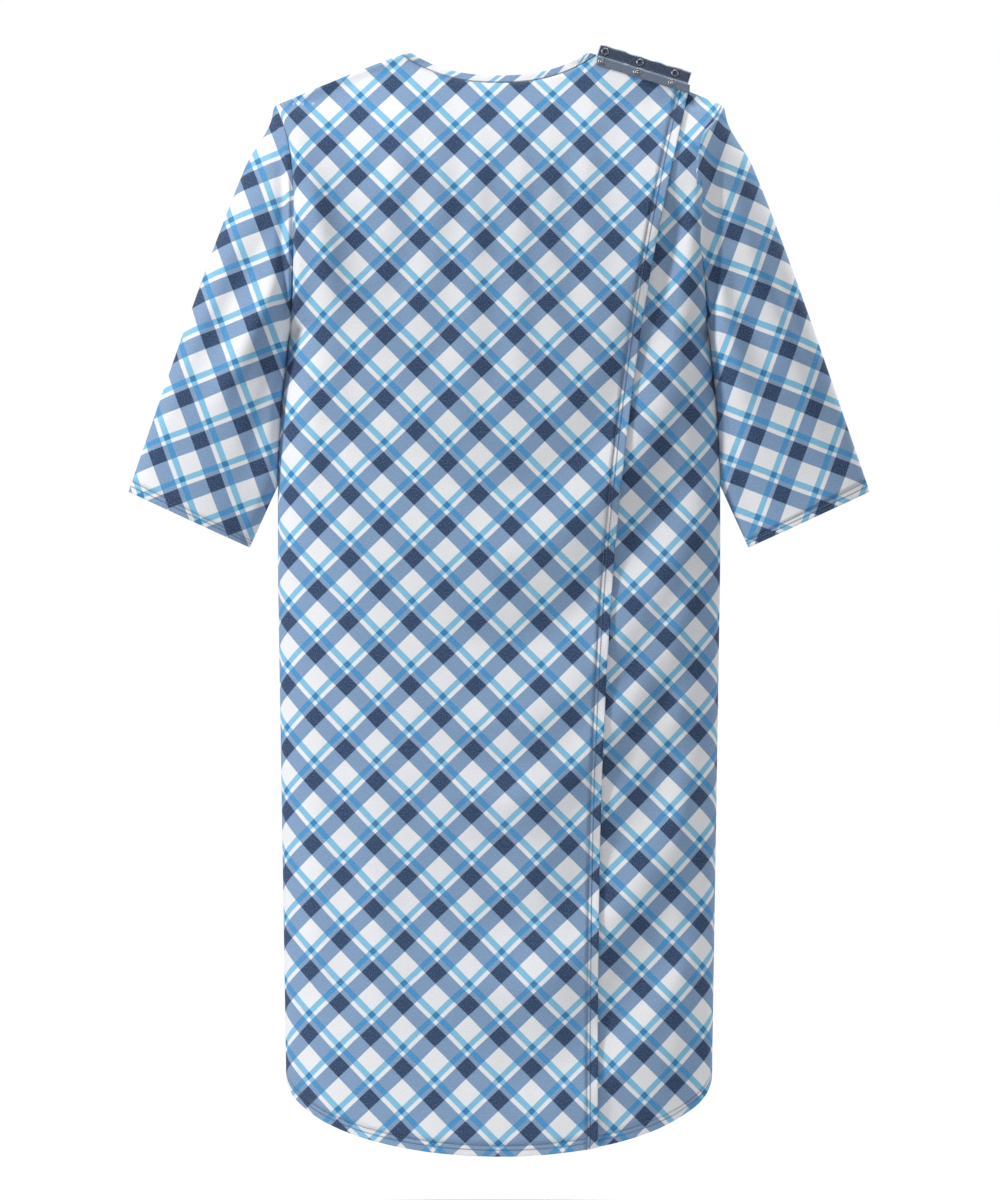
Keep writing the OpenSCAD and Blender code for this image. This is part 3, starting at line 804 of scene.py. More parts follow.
uFlap = np.concatenate([uMid * 0.7, 0.7 + 0.3 * uRight])
xFlap = mix(-gown["foldLow"], gown["edgeLow"] - hemH, uFlap)
xHem = np.concatenate([mix(-gown["halfHem"], -gown["foldLow"], uLeft), xFlap])
liftHem = np.concatenate([gown["layer"] * ease(uLeft), np.full(len(uMid) + len(uRight), gown["layer"])])
outerHem, outerHemPoints = hemBand("outerBackHem", xHem, liftHem, -1, outerShift)


# stitched facing down a free edge, from the panel to the edge itself
def facingBand(name, edgeLine, topLine, lift, shift, right=True):
    u = np.linspace(0, 1, 9)[:, None]
    v = rowsV[None, :]
    x = edgeLine(v) - (1 - u) * hemH if right else edgeLine(v) + (1 - u) * hemH
    x = x - (gown["turned"] / 2 if right else -gown["turned"] / 2) * u
    z = mix(topLine(x[:, :1]), hemZ(x[:, -1:]), v)
    points = skin(x, z, lift=lift)
    points[..., 1] -= 0.22 * np.sin(z / 5.3 + 2 * np.sin(z / 31)) * np.sin(np.pi * u)
    edge = np.stack([z, (1 - u) * hemH + 0 * z], -1)
    band = clothSheet(name, points, bodyWeave(points, x, z, -1, shift), gown["turned"], stitchedFacing,
        insidePlaid, rounded=True, edge=edge)
    return band, points


over = gown["layer"]
outerFacing, outerFacingPoints = facingBand("outerEdgeFacing", edgeX, flapTop, over, outerShift)
outerBinding, outerBindingPoints = bindingBand("outerNeckBinding", wFull, gown["neckBack"], over, -1)

# the under back: the fixed right side and the flap that passes behind, again one cloth
underShift = (0.5, 20.7, 0.0225, 0.0125)
uRightSide = np.sin(np.linspace(0, np.pi / 2, 26))
uUnder = np.linspace(0, 1, 22)
innerX = gown["underEdge"] + hemH


def underGrid(v, lower):
    fold = foldX(mix(foldZ0, foldZ1, v))
    part = uUnder[None, :]
    xTop = mix(innerX, foldTop, part)
    xLow = mix(innerX, gown["foldLow"], part)
    z1 = mix(neckZ(xTop / foldTop, 1, gown["neckBack"]), lower(xLow), v)
    x1 = mix(innerX, fold, part)
    part = uRightSide[None, 1:]
    xTop = mix(foldTop, halfShoulder, part)
    xLow = mix(gown["foldLow"], gown["halfHem"], part)
    z2 = mix(shoulderZ(xTop), lower(xLow), v)
    x2 = mix(fold, halfWidth(z2), part)
    return np.concatenate([x1 + 0 * z1, x2], 1), np.concatenate([z1, z2], 1)


x, z = underGrid(v, hemTop)
underPoints = skin(x, z)
underBack = clothSheet("underBack", underPoints, bodyWeave(underPoints, x, z, -1, underShift),
    gown["cloth"], brushedPlaid, insidePlaid)
xHem = np.concatenate([mix(innerX, gown["foldLow"], uUnder),
        mix(gown["foldLow"], gown["halfHem"], uRightSide[1:])])
underHem, underHemPoints = hemBand("underBackHem", xHem, 0, -1, underShift)
underEdgeX = lambda v: gown["underEdge"] + 0 * v
underTop = lambda x: neckZ(x / foldTop, 1, gown["neckBack"])
underFacing, underFacingPoints = facingBand("underEdgeFacing", underEdgeX, underTop, 0, underShift,
    right=False)
wUnder = np.linspace(gown["underEdge"] / gown["halfNeck"], 1, 50)
underBinding, underBindingPoints = bindingBand("underNeckBinding", wUnder, gown["neckBack"], 0, -1)
print("gown: body cloth made")

# sleeves
sleeve = {
    "length": 452.0,
    "tilt": 20.8,
    "cuffWidth": 146.0,
    "cuffTilt": 24.6,
    "cuffDepth": 40.0,
    "shiftLeft": (17.9, -20.9),
    "shiftRight": (-34.6, 24.5),
    "axis": 24.8,          # slope of the weave, degrees from upright
    "ridge": 6.5,          # roll of the sleeve head beside the armhole seam, and the dip behind it
    "dip": 5.0,
    "overRight": (13, 7),  # how far the head lies over the back, and how far it stands out
    "overLeft": (-1, -3),
}
tipX = halfShoulder + 1
tiltR = math.radians(sleeve["tilt"])
cuffR = math.radians(sleeve["cuffTilt"])
cuffX = tipX + sleeve["length"] * math.sin(tiltR)
cuffZ = tipZ - sleeve["length"] * math.cos(tiltR)
innerCuffX = cuffX - sleeve["cuffWidth"] * math.cos(cuffR)
innerCuffZ = cuffZ - sleeve["cuffWidth"] * math.sin(cuffR)
cuffS = 1 - hemH / sleeve["length"]


def foldOut(s):
    return np.stack([mix(tipX, cuffX, s) + 8 * np.sin(np.pi * np.clip(s, 0, 1) ** 0.6),
            mix(tipZ, cuffZ, s)], -1)


def foldIn(s):
    z = mix(underZ, innerCuffZ, s)
    return np.stack([np.maximum(halfWidth(z) - 0.7, innerCuffX - (z - innerCuffZ) * math.tan(cuffR)), z],
        -1)


# drag lines of a sleeve: centre (share of the way round: 0 back, 0.25 top fold), slant, width,
# height in millimetres, and where each begins and ends on the way down
sleeveFolds = {
    -1: [
        (0.97, 0.16, 0.030, 8.0, 0.0, 0.75),
        (0.05, 0.16, 0.035, -5.5, 0.0, 0.7),
        (0.13, 0.05, 0.04, 4.5, 0.15, 1.0),
        (0.88, 0.08, 0.035, -4.0, 0.2, 0.9),
        (0.83, 0.0, 0.035, 4.0, 0.4, 1.1),
        (0.45, 0.1, 0.05, 3.2, 0.0, 0.7),
        (0.60, -0.1, 0.05, -2.6, 0.1, 0.9),
    ],
    1: [
        (0.92, 0.16, 0.035, 6.5, 0.0, 0.6),
        (0.99, 0.18, 0.035, -6.0, 0.05, 0.6),
        (0.07, 0.12, 0.04, 5.0, 0.1, 0.9),
        (0.86, 0.02, 0.035, -4.0, 0.35, 1.05),
        (0.13, 0.0, 0.03, -2.5, 0.3, 1.0),
        (0.44, 0.1, 0.05, 3.0, 0.0, 0.7),
        (0.62, -0.1, 0.05, -2.6, 0.1, 0.9),
    ],
}


def sleevePoints(s, side, columns=112):
    a = np.linspace(0, 2 * np.pi, columns, endpoint=False)[None, :]
    s = np.asarray(s, float)[:, None]
    p, q = foldOut(s), foldIn(s)
    half = np.linalg.norm(p - q, axis=-1) / 2
    round1 = a / (2 * np.pi)
    bump = 0
    for centre, slant, wide, high, begin, end in sleeveFolds[side]:
        off = (round1 - centre - slant * (s - 0.3) + 0.5) % 1 - 0.5
        lengthwise = ease((s - begin) / 0.18) * ease((end - s) / 0.25)
        bump = bump + high * lengthwise * np.exp(-(off / wide) ** 2)
    # the head of the sleeve rolls over the armhole seam and makes a soft ridge beside it
    level = np.sin(a)
    away = s * mix(245, sleeve["length"], (1 + level) / 2) + 2 * np.sin(3 * level)
    roll = sleeve["ridge"] * np.exp(-((away - 8) / 6) ** 2) - sleeve["dip"] * np.exp(-((away - 21) / 8) ** 2)
    bump = bump * ease(s / 0.08) + roll * (0.3 + 0.7 * np.cos(a) ** 2) * ease((level + 0.95) / 0.3)
    k = (half + bump * 0.25) / half
    m = (p + q) / 2 + (p - q) / 2 * (k * np.sin(a))[..., None]
    deep = mix(armD, sleeve["cuffDepth"] / 2, ease(s)) + slit + bump
    y = -deep * np.cos(a)
    seam = halfWidth(m[..., 1]) + 0.6
    line = np.interp(m[..., 1], [underZ, tipZ], [gown["halfUnder"], halfShoulder]) + 1
    x = m[..., 0] + (seam - line) * (1 - ease(s / 0.16))
    # on the right the roll lies over the edge of the back, on the left the back lies over it
    part = ease((0.97 - level) / 0.25) * ease((level + 0.75) / 0.8) * ease(np.cos(a) / 0.35 + 0.1)
    over = np.exp(-((away - 6) / 9) ** 2) * part * ease(away / 4)
    aside, proud = sleeve["overRight"] if side > 0 else sleeve["overLeft"]
    x = x - aside * over
    y = y - proud * over
    return np.stack([side * x, y, m[..., 1]], -1), x - m[..., 0]


def sleeveWeave(points, moved, s, side, shift):
    p, q = foldOut(s), foldIn(s)
    e = (q - p) / np.linalg.norm(q - p, axis=-1, keepdims=True)
    t = np.array([math.sin(tiltR), -math.cos(tiltR)])
    e2 = 2 * (e @ t)[:, None] * t - e
    rows, columns = points.shape[:2]
    top = columns // 4
    ringSteps = np.linalg.norm((points - np.roll(points, 1, 1)) * [1, 0.35, 1], axis=-1)
    flat = np.zeros((rows, columns, 2))
    for way, direction in ((1, e2), (-1, e)):
        run = np.zeros(rows)
        for k in range(1, columns // 2 + (1 if way > 0 else 0)):
            j = (top + way * k) % columns
            run = run + ringSteps[:, j if way > 0 else (j + 1) % columns]
            flat[:, j] = p + direction * run[:, None]
    flat[:, top] = p
    flat[..., 0] += moved
    axis = math.radians(sleeve["axis"])
    u = flat[..., 0] * math.cos(axis) + flat[..., 1] * math.sin(axis)
    w = -flat[..., 0] * math.sin(axis) + flat[..., 1] * math.cos(axis)
    return np.stack([side * u + shift[0], w + shift[1]], -1) * [1, 1.01]


sleeveParts = {}
for side, name in ((-1, "left"), (1, "right")):
    shift = sleeve["shift" + name.capitalize()]
    s = np.concatenate([np.linspace(0, 0.1, 24)[:-1], np.linspace(0.1, cuffS, 80)])
    points, moved = sleevePoints(s, side)
    weave = sleeveWeave(points, moved, s, side, shift)
    tube = clothSheet(name + "Sleeve", points, weave, gown["cloth"], brushedPlaid, insidePlaid, loop=True)
    sHem = np.linspace(cuffS, 1 - gown["turned"] / 2 / sleeve["length"], 8)
    hemPoints, moved = sleevePoints(sHem, side)
    run = np.cumsum(np.linalg.norm(hemPoints - np.roll(hemPoints, 1, 1), axis=-1), 1)
    edge = np.stack([run, np.broadcast_to(((1 - sHem) * sleeve["length"])[:, None], run.shape)], -1)
    weave = sleeveWeave(hemPoints, moved, sHem, side, shift)
    cuff = clothSheet(name + "SleeveHem", hemPoints, weave, gown["turned"], stitchedHem, insidePlaid,
        rounded=True, edge=edge, loop=True)
    sleeveParts[side] = (tube, cuff, points, hemPoints)
print("gown: sleeves made")


# sewing thread: short stitches laid end to end along each row
sewing = {
    "stitch": 2.5,
    "gap": 0.9,
    "thread": 0.24,
    "proud": 0.12,         # how far the thread stands above the cloth
    "seed": 4,
}


def stitchTree():
    tree = bpy.data.node_groups.new("stitch rows", "GeometryNodeTree")
    tree.interface.new_socket("Geometry", in_out="INPUT", socket_type="NodeSocketGeometry")
    for label, value in (("Step", 0.0034), ("Length", 0.00125), ("Thread", 0.00024)):
        tree.interface.new_socket(label, in_out="INPUT",
            socket_type="NodeSocketFloat").default_value = value
    tree.interface.new_socket("Seed", in_out="INPUT", socket_type="NodeSocketInt")
    tree.interface.new_socket("Material", in_out="INPUT", socket_type="NodeSocketMaterial")
    tree.interface.new_socket("Geometry", in_out="OUTPUT", socket_type="NodeSocketGeometry")
    given = addNode(tree, "NodeGroupInput")
    curve = addNode(tree, "GeometryNodeMeshToCurve", {"Mesh": given.outputs["Geometry"]})
    spaced = addNode(tree, "GeometryNodeResampleCurve",
        {"Curve": curve.outputs["Curve"], "Length": given.outputs["Step"]}, mode="LENGTH")
    tangent = addNode(tree, "GeometryNodeInputTangent")
    turn = addNode(tree, "FunctionNodeAlignRotationToVector", {"Vector": tangent.outputs["Tangent"]},
        axis="Z")
    ball = addNode(tree, "GeometryNodeMeshUVSphere", {"Segments": 6, "Rings": 5, "Radius": 1.0})
    uneven = addNode(tree, "FunctionNodeRandomValue",
        {"Min": 0.88, "Max": 1.1, "Seed": given.outputs["Seed"]}, data_type="FLOAT")
    longer = addNode(tree, "ShaderNodeMath", {0: given.outputs["Length"], 1: uneven.outputs[1]},
        operation="MULTIPLY")
    size = addNode(tree, "ShaderNodeCombineXYZ",
        {"X": given.outputs["Thread"], "Y": given.outputs["Thread"], "Z": longer.outputs[0]})
    laid = addNode(tree, "GeometryNodeInstanceOnPoints",
        {"Points": spaced.outputs["Curve"], "Instance": ball.outputs["Mesh"],
            "Rotation": turn.outputs["Rotation"], "Scale": size.outputs["Vector"]})
    real = addNode(tree, "GeometryNodeRealizeInstances", {"Geometry": laid.outputs["Instances"]})
    painted = addNode(tree, "GeometryNodeSetMaterial",
        {"Geometry": real.outputs["Geometry"], "Material": given.outputs["Material"]})
    addNode(tree, "NodeGroupOutput", {"Geometry": painted.outputs["Geometry"]})
    return tree


stitches = stitchTree()


def sewRows(name, rows, material):
    points = []
    edges = []
    for row, closed in rows:
        start = len(points)
        points += [tuple(p * mm) for p in row]
        edges += [(start + i, start + i + 1) for i in range(len(row) - 1)]
        if closed:
            edges.append((len(points) - 1, start))
    mesh = bpy.data.meshes.new(name + "Path")
    mesh.from_pydata(points, edges, [])
    path = bpy.data.objects.new(name + "Path", mesh)
    bpy.context.scene.collection.objects.link(path)
    rowsOf = path.modifiers.new("rows", "NODES")
    rowsOf.node_group = stitches
    given = {
        "Step": (sewing["stitch"] + sewing["gap"]) * mm,
        "Length": sewing["stitch"] / 2 * mm,
        "Thread": sewing["thread"] * mm,
        "Seed": sewing["seed"],
        "Material": material,
    }
    for item in stitches.interface.items_tree:
        if item.in_out == "INPUT" and item.name in given:
            rowsOf[item.identifier] = given[item.name]
    seen = path.evaluated_get(bpy.context.evaluated_depsgraph_get())
    result = bpy.data.meshes.new_from_object(seen)
    bpy.data.objects.remove(path)
    result.name = name
    result.polygons.foreach_set("use_smooth", [True] * len(result.polygons))
    obj = bpy.data.objects.new(name, result)
    bpy.context.scene.collection.objects.link(obj)
    return obj


# a row at a share of a band's width, standing just proud of the cloth
def rowOn(points, share, side):
    at = share * (points.shape[0] - 1)
    i = min(int(at), points.shape[0] - 2)
    row = mix(points[i], points[i + 1], at - i).copy()
    row[:, 1] += side * sewing["proud"]
    return row


# where the rows run on a hem, a facing and a binding, as shares of the width
hemRows = (0.02, 0.45)
facingRows = (0.02, 0.33)
bindingRow = (0.1,)


def bandRows(points, side, shares=hemRows):
    return [(rowOn(points, share, side), False) for share in shares]


rows = bandRows(frontHemPoints, 1) + bandRows(frontBindingPoints, 1, bindingRow)
bodyStitches = sewRows("bodyStitches", rows, sewingThread)
rows = bandRows(outerHemPoints, -1) + bandRows(outerFacingPoints, -1, facingRows)
outerStitches = sewRows("outerBackStitches", rows + bandRows(outerBindingPoints, -1, bindingRow),
    sewingThread)
rows = bandRows(underHemPoints, -1) + bandRows(underFacingPoints, -1, facingRows)
underStitches = sewRows("underBackStitches", rows + bandRows(underBindingPoints, -1, bindingRow),
    sewingThread)
sleeveStitches = {}
for side, name in ((-1, "left"), (1, "right")):
    rows = []
    hemPoints = sleeveParts[side][3]
    for share in hemRows:
        at = share * (len(hemPoints) - 1)
        row = mix(hemPoints[int(at)], hemPoints[int(at) + 1], at - int(at))
        centre = row.mean(0)
        away = row - centre
        row = row + sewing["proud"] * away / np.linalg.norm(away, axis=-1, keepdims=True)
        rows.append((row, True))
    sleeveStitches[side] = sewRows(name + "SleeveStitches", rows, sewingThread)
print("gown: stitches sewn")


# overlocked allowances lying inside the seams
def allowance(name, line, inward, width=8.0, thickness=0.9):
    line = np.asarray(line, float)
    inward = np.asarray(inward, float)
    t = np.linspace(0, 1, 5)[:, None, None]
    wave = 0.35 * np.sin(np.arange(len(line)) * 0.9)[None, :, None] * t * np.array([0, 1, 0])
    points = line[None] + inward[None] * width * t + wave + np.array([0, -thickness / 2, 0])
    run = arcAcross(points)
    uv = np.stack([run, np.broadcast_to(t[..., 0] * width, run.shape)], -1)
    return clothSheet(name, points, uv, thickness, overlocked, overlocked, rounded=True)


seamPieces = []
for side, name in ((-1, "left"), (1, "right")):
    z = np.linspace(underZ - 6, sideZ + hemH, 170)
    line = np.stack([side * (halfWidth(z) - 0.4), 0 * z, z], -1)
    seamPieces.append((allowance(name + "SideSeam", line, [[-side, 0, 0]] * 170), name + "_side_seam",
            "gown_body"))
    x = np.linspace(foldTop + 3, halfShoulder - 8, 50)
    line = np.stack([side * x, 0 * x, shoulderZ(x) - 0.5], -1)
    seamPieces.append((allowance(name + "ShoulderSeam", line, [[0, 0, -1]] * 50), name + "_shoulder_seam",
            "gown_body"))
    a = np.linspace(0, 2 * np.pi, 96, endpoint=False)
    s = np.linspace(0, 1, 5)[:, None]
    ringZ = armZ + (armH - 5.4) * np.sin(a)
    ring = np.stack([side * (halfWidth(ringZ) - 0.8 - 6 * s), (armD - 3.2) * np.cos(a) + 0 * s,
            ringZ + 0 * s], -1)
    uv = np.stack([np.broadcast_to(a * 80, (5, 96)), np.broadcast_to(6 * s, (5, 96))], -1)
    armholeSeam = clothSheet(name + "ArmholeSeam", ring, uv, 1.3, overlocked, overlocked, loop=True)
    seamPieces.append((armholeSeam, name + "_armhole_seam", "gown_body"))
    s = np.linspace(0.03, cuffS - 0.02, 90)
    p, q = foldOut(s), foldIn(s)
    d = (p - q) / np.linalg.norm(p - q, axis=-1, keepdims=True)
    start = q + d * 1.6
    line = np.stack([side * start[:, 0], 0 * s, start[:, 1]], -1)
    inward = np.stack([side * d[:, 0], 0 * s, d[:, 1]], -1)
    underarm = allowance(name + "UnderarmSeam", line, inward, width=7.5)
    seamPieces.append((underarm, name + "_underarm_seam", name + "_sleeve_part"))

# shoulder lap with its tapes and snaps
lap = {
    "height": 13.0,
    "tape": 9.0,
    "inset": 0.3,
    "snapDrop": 6.0,
    "pitch": 40.0,
    "snap": 8.4,
    "middle": 46.5,        # from the neck end of the lap to the middle snap
    "cloth": 1.6,          # two layers pressed together
    "tapeCloth": 1.0,
    "flapTapeOut": 0.95,   # how far the tape stands out from the flap
}
skew = math.atan(lapSlope)
lapX0 = foldTop
lapX1 = gown["edgeTop"] - 2
lapZ0 = float(flapTop(lapX0)) + 2
snapMid = lapX0 + lap["middle"]


# a point x across, h square to the fold of the lap and y deep
def lapPoint(x, h, y):
    run = (x - lapX0) / math.cos(skew)
    across = lapX0 + run * math.cos(skew) + h * math.sin(skew)
    return np.stack([across, y + 0 * run, lapZ0 - run * math.sin(skew) + h * math.cos(skew)], -1)


def lapBand(name, x0, x1, h0, h1, y, thickness, outside, inside):
    run = np.linspace(0, 1, 90)[None, :]
    t = np.linspace(0, 1, 9)[:, None]
    x = mix(x0, x1, run) + 0 * t
    h = mix(h0, h1, t) + 0.28 * np.sin(run * 31) * t
    points = lapPoint(x, h, y + 0.3 * np.sin(run * 17 + 1) * t)
    edge = np.stack([x, (1 - t) * (h1 - h0) + 0 * x], -1)
    return clothSheet(name, points, np.stack([x - h, h], -1), thickness, outside, inside, rounded=True,
        edge=edge)


# the cloth of the lap starts lower toward the sleeve end, so that no gap shows behind the flap
lapRoot = -(2.6 + 0.06 * (np.linspace(lapX0 + 1, lapX1, 90)[None, :] - lapX0))
shoulderLap = lapBand("shoulderLap", lapX0 + 1, lapX1, lapRoot, lap["height"] - 0.9, lap["inset"] + 0.3,
    lap["cloth"], insidePlaid, brushedPlaid)
lapTape = lapBand("lapSnapTape", lapX0 + 2, lapX1 - 1, 0.6, lap["tape"] + 2, -0.8, lap["tapeCloth"],
    navyTwill, navyTwill)
tapeY = slit + cadCloth + gown["layer"] + 0.1
run = np.linspace(0, 1, 80)[None, :]
t = np.linspace(0, 1, 7)[:, None]
x = mix(lapX0 + 1, gown["edgeTop"] - 0.8, run) + 0 * t
wavy = 0.15 * np.sin(run * 29) * t
points = np.stack([x, -(tapeY + lap["flapTapeOut"]) + wavy, flapTop(x) - 0.4 - t * lap["tape"]], -1)
weave = np.stack([x, t * lap["tape"] + 0 * x], -1)
edge = np.stack([x, (1 - t) * lap["tape"] + 0 * x], -1)
flapTape = clothSheet("flapSnapTape", points, weave, 0.9, greyTwill, greyTwill, rounded=True, edge=edge)


# pressed metal parts of the snaps, turned from a closed profile (radius, height) in millimetres
def turnedMetal(name, profile, h, y, flipped=1):
    count = 40
    a = np.linspace(0, 2 * np.pi, count, endpoint=False)
    profile = np.asarray(profile, float)
    rows = len(profile)
    points = []
    faces = []
    for k in (-1, 0, 1):
        x = snapMid + k * lap["pitch"] * math.cos(skew)
        centre = lapPoint(np.array(x), h, y)
        start = len(points)
        for r, d in profile:
            for b in a:
                points.append(centre + np.array([r * math.cos(b), -d * flipped, r * math.sin(b)]))
        for i in range(rows):
            for j in range(count):
                n = (i + 1) % rows
                after = (j + 1) % count
                face = (start + i * count + j, start + i * count + after, start + n * count + after,
                    start + n * count + j)
                faces.append(face if flipped < 0 else face[::-1])
    return linkMesh(name, np.array(points) * mm, faces, snapNickel)


def tidyNormals(obj):
    bpy.context.view_layer.objects.active = obj
    work = bmesh.new()
    work.from_mesh(obj.data)
    bmesh.ops.recalc_face_normals(work, faces=work.faces)
    work.to_mesh(obj.data)
    work.free()


r = lap["snap"] / 2
studProfile = [(0.05, 0.0), (r - 0.3, 0.0), (r, 0.18), (r - 0.1, 0.42), (r - 0.7, 0.5), (2.3, 0.34),
    (1.75, 0.5), (1.6, 0.9), (1.6, 1.15), (1.3, 1.3), (0.05, 1.3)]
socketProfile = [(2.4, 0.0), (r - 0.2, 0.0), (r, 0.3), (r - 0.3, 0.75), (r - 1.0, 0.95), (2.9, 0.8),
    (2.55, 0.95), (2.4, 0.7)]
prongProfile = [(2.55, 0.0), (r - 0.15, 0.0), (r, 0.25), (r - 0.35, 0.6), (r - 0.9, 0.68), (3.0, 0.5),
    (2.6, 0.3)]
snapStuds = turnedMetal("snapStuds", studProfile, -lap["snapDrop"], -(tapeY + 1.0))
studRings = turnedMetal("studRings", prongProfile, -lap["snapDrop"], -(slit + gown["layer"] - 0.75), -1)
snapSockets = turnedMetal("snapSockets", socketProfile, lap["snapDrop"], lap["inset"] - 1.1)
socketRings = turnedMetal("socketRings", prongProfile, lap["snapDrop"], lap["inset"] + cadCloth + 0.05, -1)
for piece in (snapStuds, studRings, snapSockets, socketRings):
    tidyNormals(piece)
x = np.linspace(lapX0 + 3, lapX1 - 2, 60)
rows = [(lapPoint(x, h, -0.95), False) for h in (1.6, lap["tape"] + 1.4)]
lapStitches = sewRows("lapStitches", rows, sewingThread)
tapeRow = points[5].copy()
tapeRow[:, 1] -= 0.1
tapeTop = points[0].copy()
tapeTop[:, 1] -= 0.1
tapeTop[:, 2] -= 1.2
tapeStitches = sewRows("tapeStitches", [(tapeRow[2:-2], False), (tapeTop[2:-2], False)], sewingThread)
print("gown: lap and snaps made")

# distances from a joint, in metres
bending = {
    "before": 0.012,
    "after": 0.055,
    "sleeveStart": 0.2475,
    "sleeveEnd": 0.335,
    "sleeveRise": -0.006,
}

# which solid parts each piece stands for; some pieces also hang from the empty of the body they go with
for piece, nodes, finish in (
        (outerBack, ["left_back_side", "outer_back_flap"], "plaid_cloth"),
        (outerHem, ["left_side_hem", "outer_flap_hem"], "plaid_hem"),
        (outerFacing, ["outer_edge_facing"], "plaid_hem"),
        (outerBinding, ["outer_neck_binding"], "plaid_binding"),
        (outerStitches, [], None)):
    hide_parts(*nodes)
    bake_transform(piece)
for piece, nodes, finish in (
        (underBack, ["right_back_side", "under_back_flap"], "plaid_cloth"),
        (underHem, ["right_side_hem", "under_flap_hem"], "plaid_hem"),
        (underFacing, ["under_edge_facing"], "plaid_hem"),
        (underBinding, ["under_neck_binding"], "plaid_binding"),
        (underStitches, [], None)):
    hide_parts(*nodes)
    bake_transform(piece)
for piece, nodes, finish, body in (
        (frontPanel, ["front_panel"], "plaid_cloth", "gown_body"),
        (frontHem, ["front_hem"], "plaid_hem", "gown_body"),
        (frontBinding, ["front_neck_binding"], "plaid_binding", "gown_body"),
        (bodyStitches, [], None, "gown_body"),
        (flapTape, ["flap_snap_tape"], "grey_tape", "outer_flap"),
        (snapStuds, ["snap_studs"], "snap_metal", "outer_flap"),
        (studRings, ["stud_rings"], "snap_metal", "outer_flap"),
        (tapeStitches, [], None, "outer_flap"),
        (lapTape, ["lap_snap_tape"], "navy_tape", "lap_part"),
        (snapSockets, ["snap_sockets"], "snap_metal", "lap_part"),
        (socketRings, ["socket_rings"], "snap_metal", "lap_part"),
        (lapStitches, [], None, "lap_part")):
    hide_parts(*nodes)
    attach(piece, body)
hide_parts("shoulder_lap")
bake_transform(shoulderLap)
for piece, node, body in seamPieces:
    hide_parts(node)
    if body == "gown_body":
        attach(piece, body)
for side, name in ((-1, "left"), (1, "right")):
    start = Vector((side * bending["sleeveStart"], 0, 0))
    tube, cuff = sleeveParts[side][:2]
    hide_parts(name + "_sleeve")
    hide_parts(name + "_sleeve_hem")
    seams = [piece for piece, node, body in seamPieces if body == name + "_sleeve_part"]
    for piece in [tube, cuff, sleeveStitches[side]] + seams:
        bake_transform(piece)

print("gown: pieces placed")

# studio: white floor and surround, soft light from the front, long lens straight on
studio = {
    "floorDrop": 0.25,     # the floor below the hem, metres
    "disc": 1.5,           # radius of the floor that takes the soft shadow
    "round": 24.0,         # radius of the pale wall all round
    "wallTop": 9.0,
    "curve": 0.8,          # radius of the curve from floor to wall
    "distance": 5.0,
    "frameHeight": 1.313,  # metres seen from top to bottom
    "floor": "#f6f6f6",
    "sides": 96,
    "eye": (0.001, -0.598),  # the lens, across and up, metres
    # each lamp: place, what it points at, size and watts
    "lamps": {
        "keyLight": ((-3.1, -1.7, 0.9), (0, 0, -0.6), (0.5, 1.0), 112),
        "fillLight": ((2.8, -3.0, 0.0), (0, 0, -0.6), (1.4, 2.0), 24),
        "topLight": ((0.2, -0.9, 2.5), (0, 0.1, -0.6), (2.0, 1.2), 44),
        "backLight": ((1.9, 1.0, 1.4), (0, 0, -0.5), (1.2, 1.4), 40),
    },
    "air": 0.2,            # soft light from all round
}


def turnedSheet(name, profile, material):
    sides = studio["sides"]
    points = []
    for radius, z in profile:
        for k in range(sides):
            angle = 2 * math.pi * k / sides
            points.append((radius * math.cos(angle), radius * math.sin(angle), z))
    faces = []
    for row in range(len(profile) - 1):
        for k in range(sides):
            after = (k + 1) % sides
            faces.append((row * sides + k, row * sides + after, (row + 1) * sides + after,
                    (row + 1) * sides + k))
    obj = linkMesh(name, points, faces, material)
    return obj


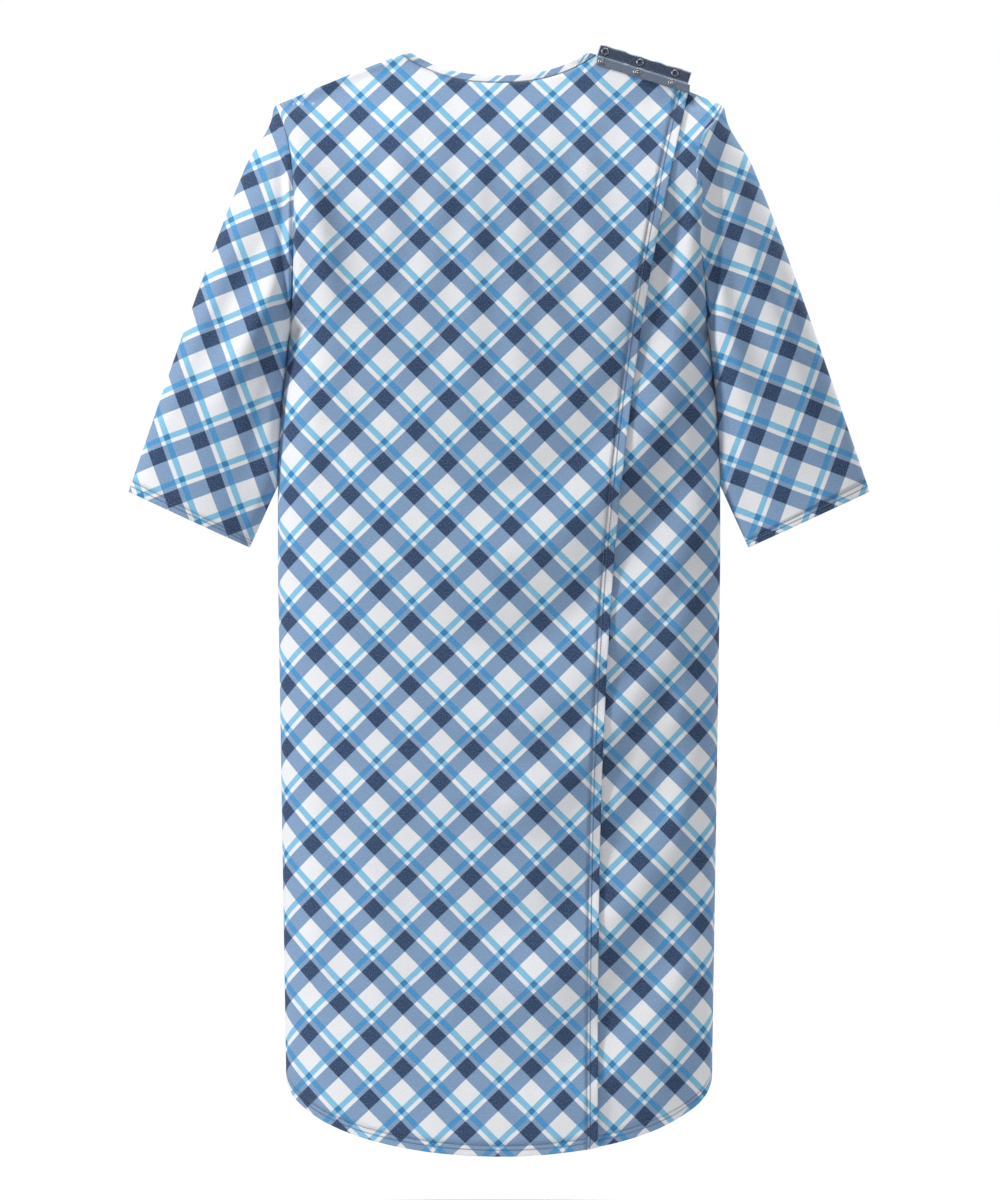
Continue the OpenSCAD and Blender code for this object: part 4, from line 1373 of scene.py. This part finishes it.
def buildStudio():
    floor = cadBox[0].z - studio["floorDrop"]
    far = studio["round"]
    paper, tree, surface = newMaterial("pale_floor")  # matt white paper: takes only the soft shadow
    surface.inputs["Base Color"].default_value = linear(studio["floor"])
    surface.inputs["Roughness"].default_value = 0.95
    turnedSheet("studioFloor", [(0.0002, floor), (studio["disc"], floor)], paper)
    glow, tree, surface = newMaterial("pale_surround")  # evenly lit white wall, the same from every side
    surface.inputs["Base Color"].default_value = linear("#000000")
    surface.inputs["Emission Color"].default_value = linear("#ffffff")
    surface.inputs["Emission Strength"].default_value = 1.0
    curve = studio["curve"]
    profile = [(studio["disc"], floor), (far - curve, floor)]
    for k in range(1, 9):
        turn = math.pi / 2 * k / 8
        profile.append((far - curve + curve * math.sin(turn), floor + curve - curve * math.cos(turn)))
    profile.append((far, studio["wallTop"]))
    surround = turnedSheet("studioSurround", profile, glow)
    surround.visible_diffuse = False  # a background only: the lamps alone shape the cloth
    surround.visible_glossy = False
    surround.visible_shadow = False


buildStudio()


def softLight(name, place, target, size, watts):
    light = bpy.data.lights.new(name, "AREA")
    light.shape = "RECTANGLE"
    light.size, light.size_y = size
    light.energy = watts
    obj = bpy.data.objects.new(name, light)
    obj.location = place
    obj.rotation_euler = (Vector(target) - Vector(place)).to_track_quat("-Z", "Y").to_euler()
    bpy.context.scene.collection.objects.link(obj)


for name, lamp in studio["lamps"].items():
    softLight(name, *lamp)
world = bpy.data.worlds.new("studioAir")
world.use_nodes = True
world.node_tree.nodes["Background"].inputs["Color"].default_value = linear("#f4f6fa")
world.node_tree.nodes["Background"].inputs["Strength"].default_value = studio["air"]
bpy.context.scene.world = world
bpy.context.scene.view_settings.view_transform = "Standard"

lens = bpy.data.cameras.new("gownCamera")
lens.sensor_width = 36
lens.sensor_fit = "VERTICAL"
lens.sensor_height = 36
lens.lens = 36 * studio["distance"] / studio["frameHeight"]
camera = bpy.data.objects.new("gownCamera", lens)
camera.location = (studio["eye"][0], -studio["distance"], studio["eye"][1])
camera.rotation_euler = (math.pi / 2, 0, 0)
bpy.context.scene.collection.objects.link(camera)
bpy.context.scene.camera = camera

print("gown: studio ready")
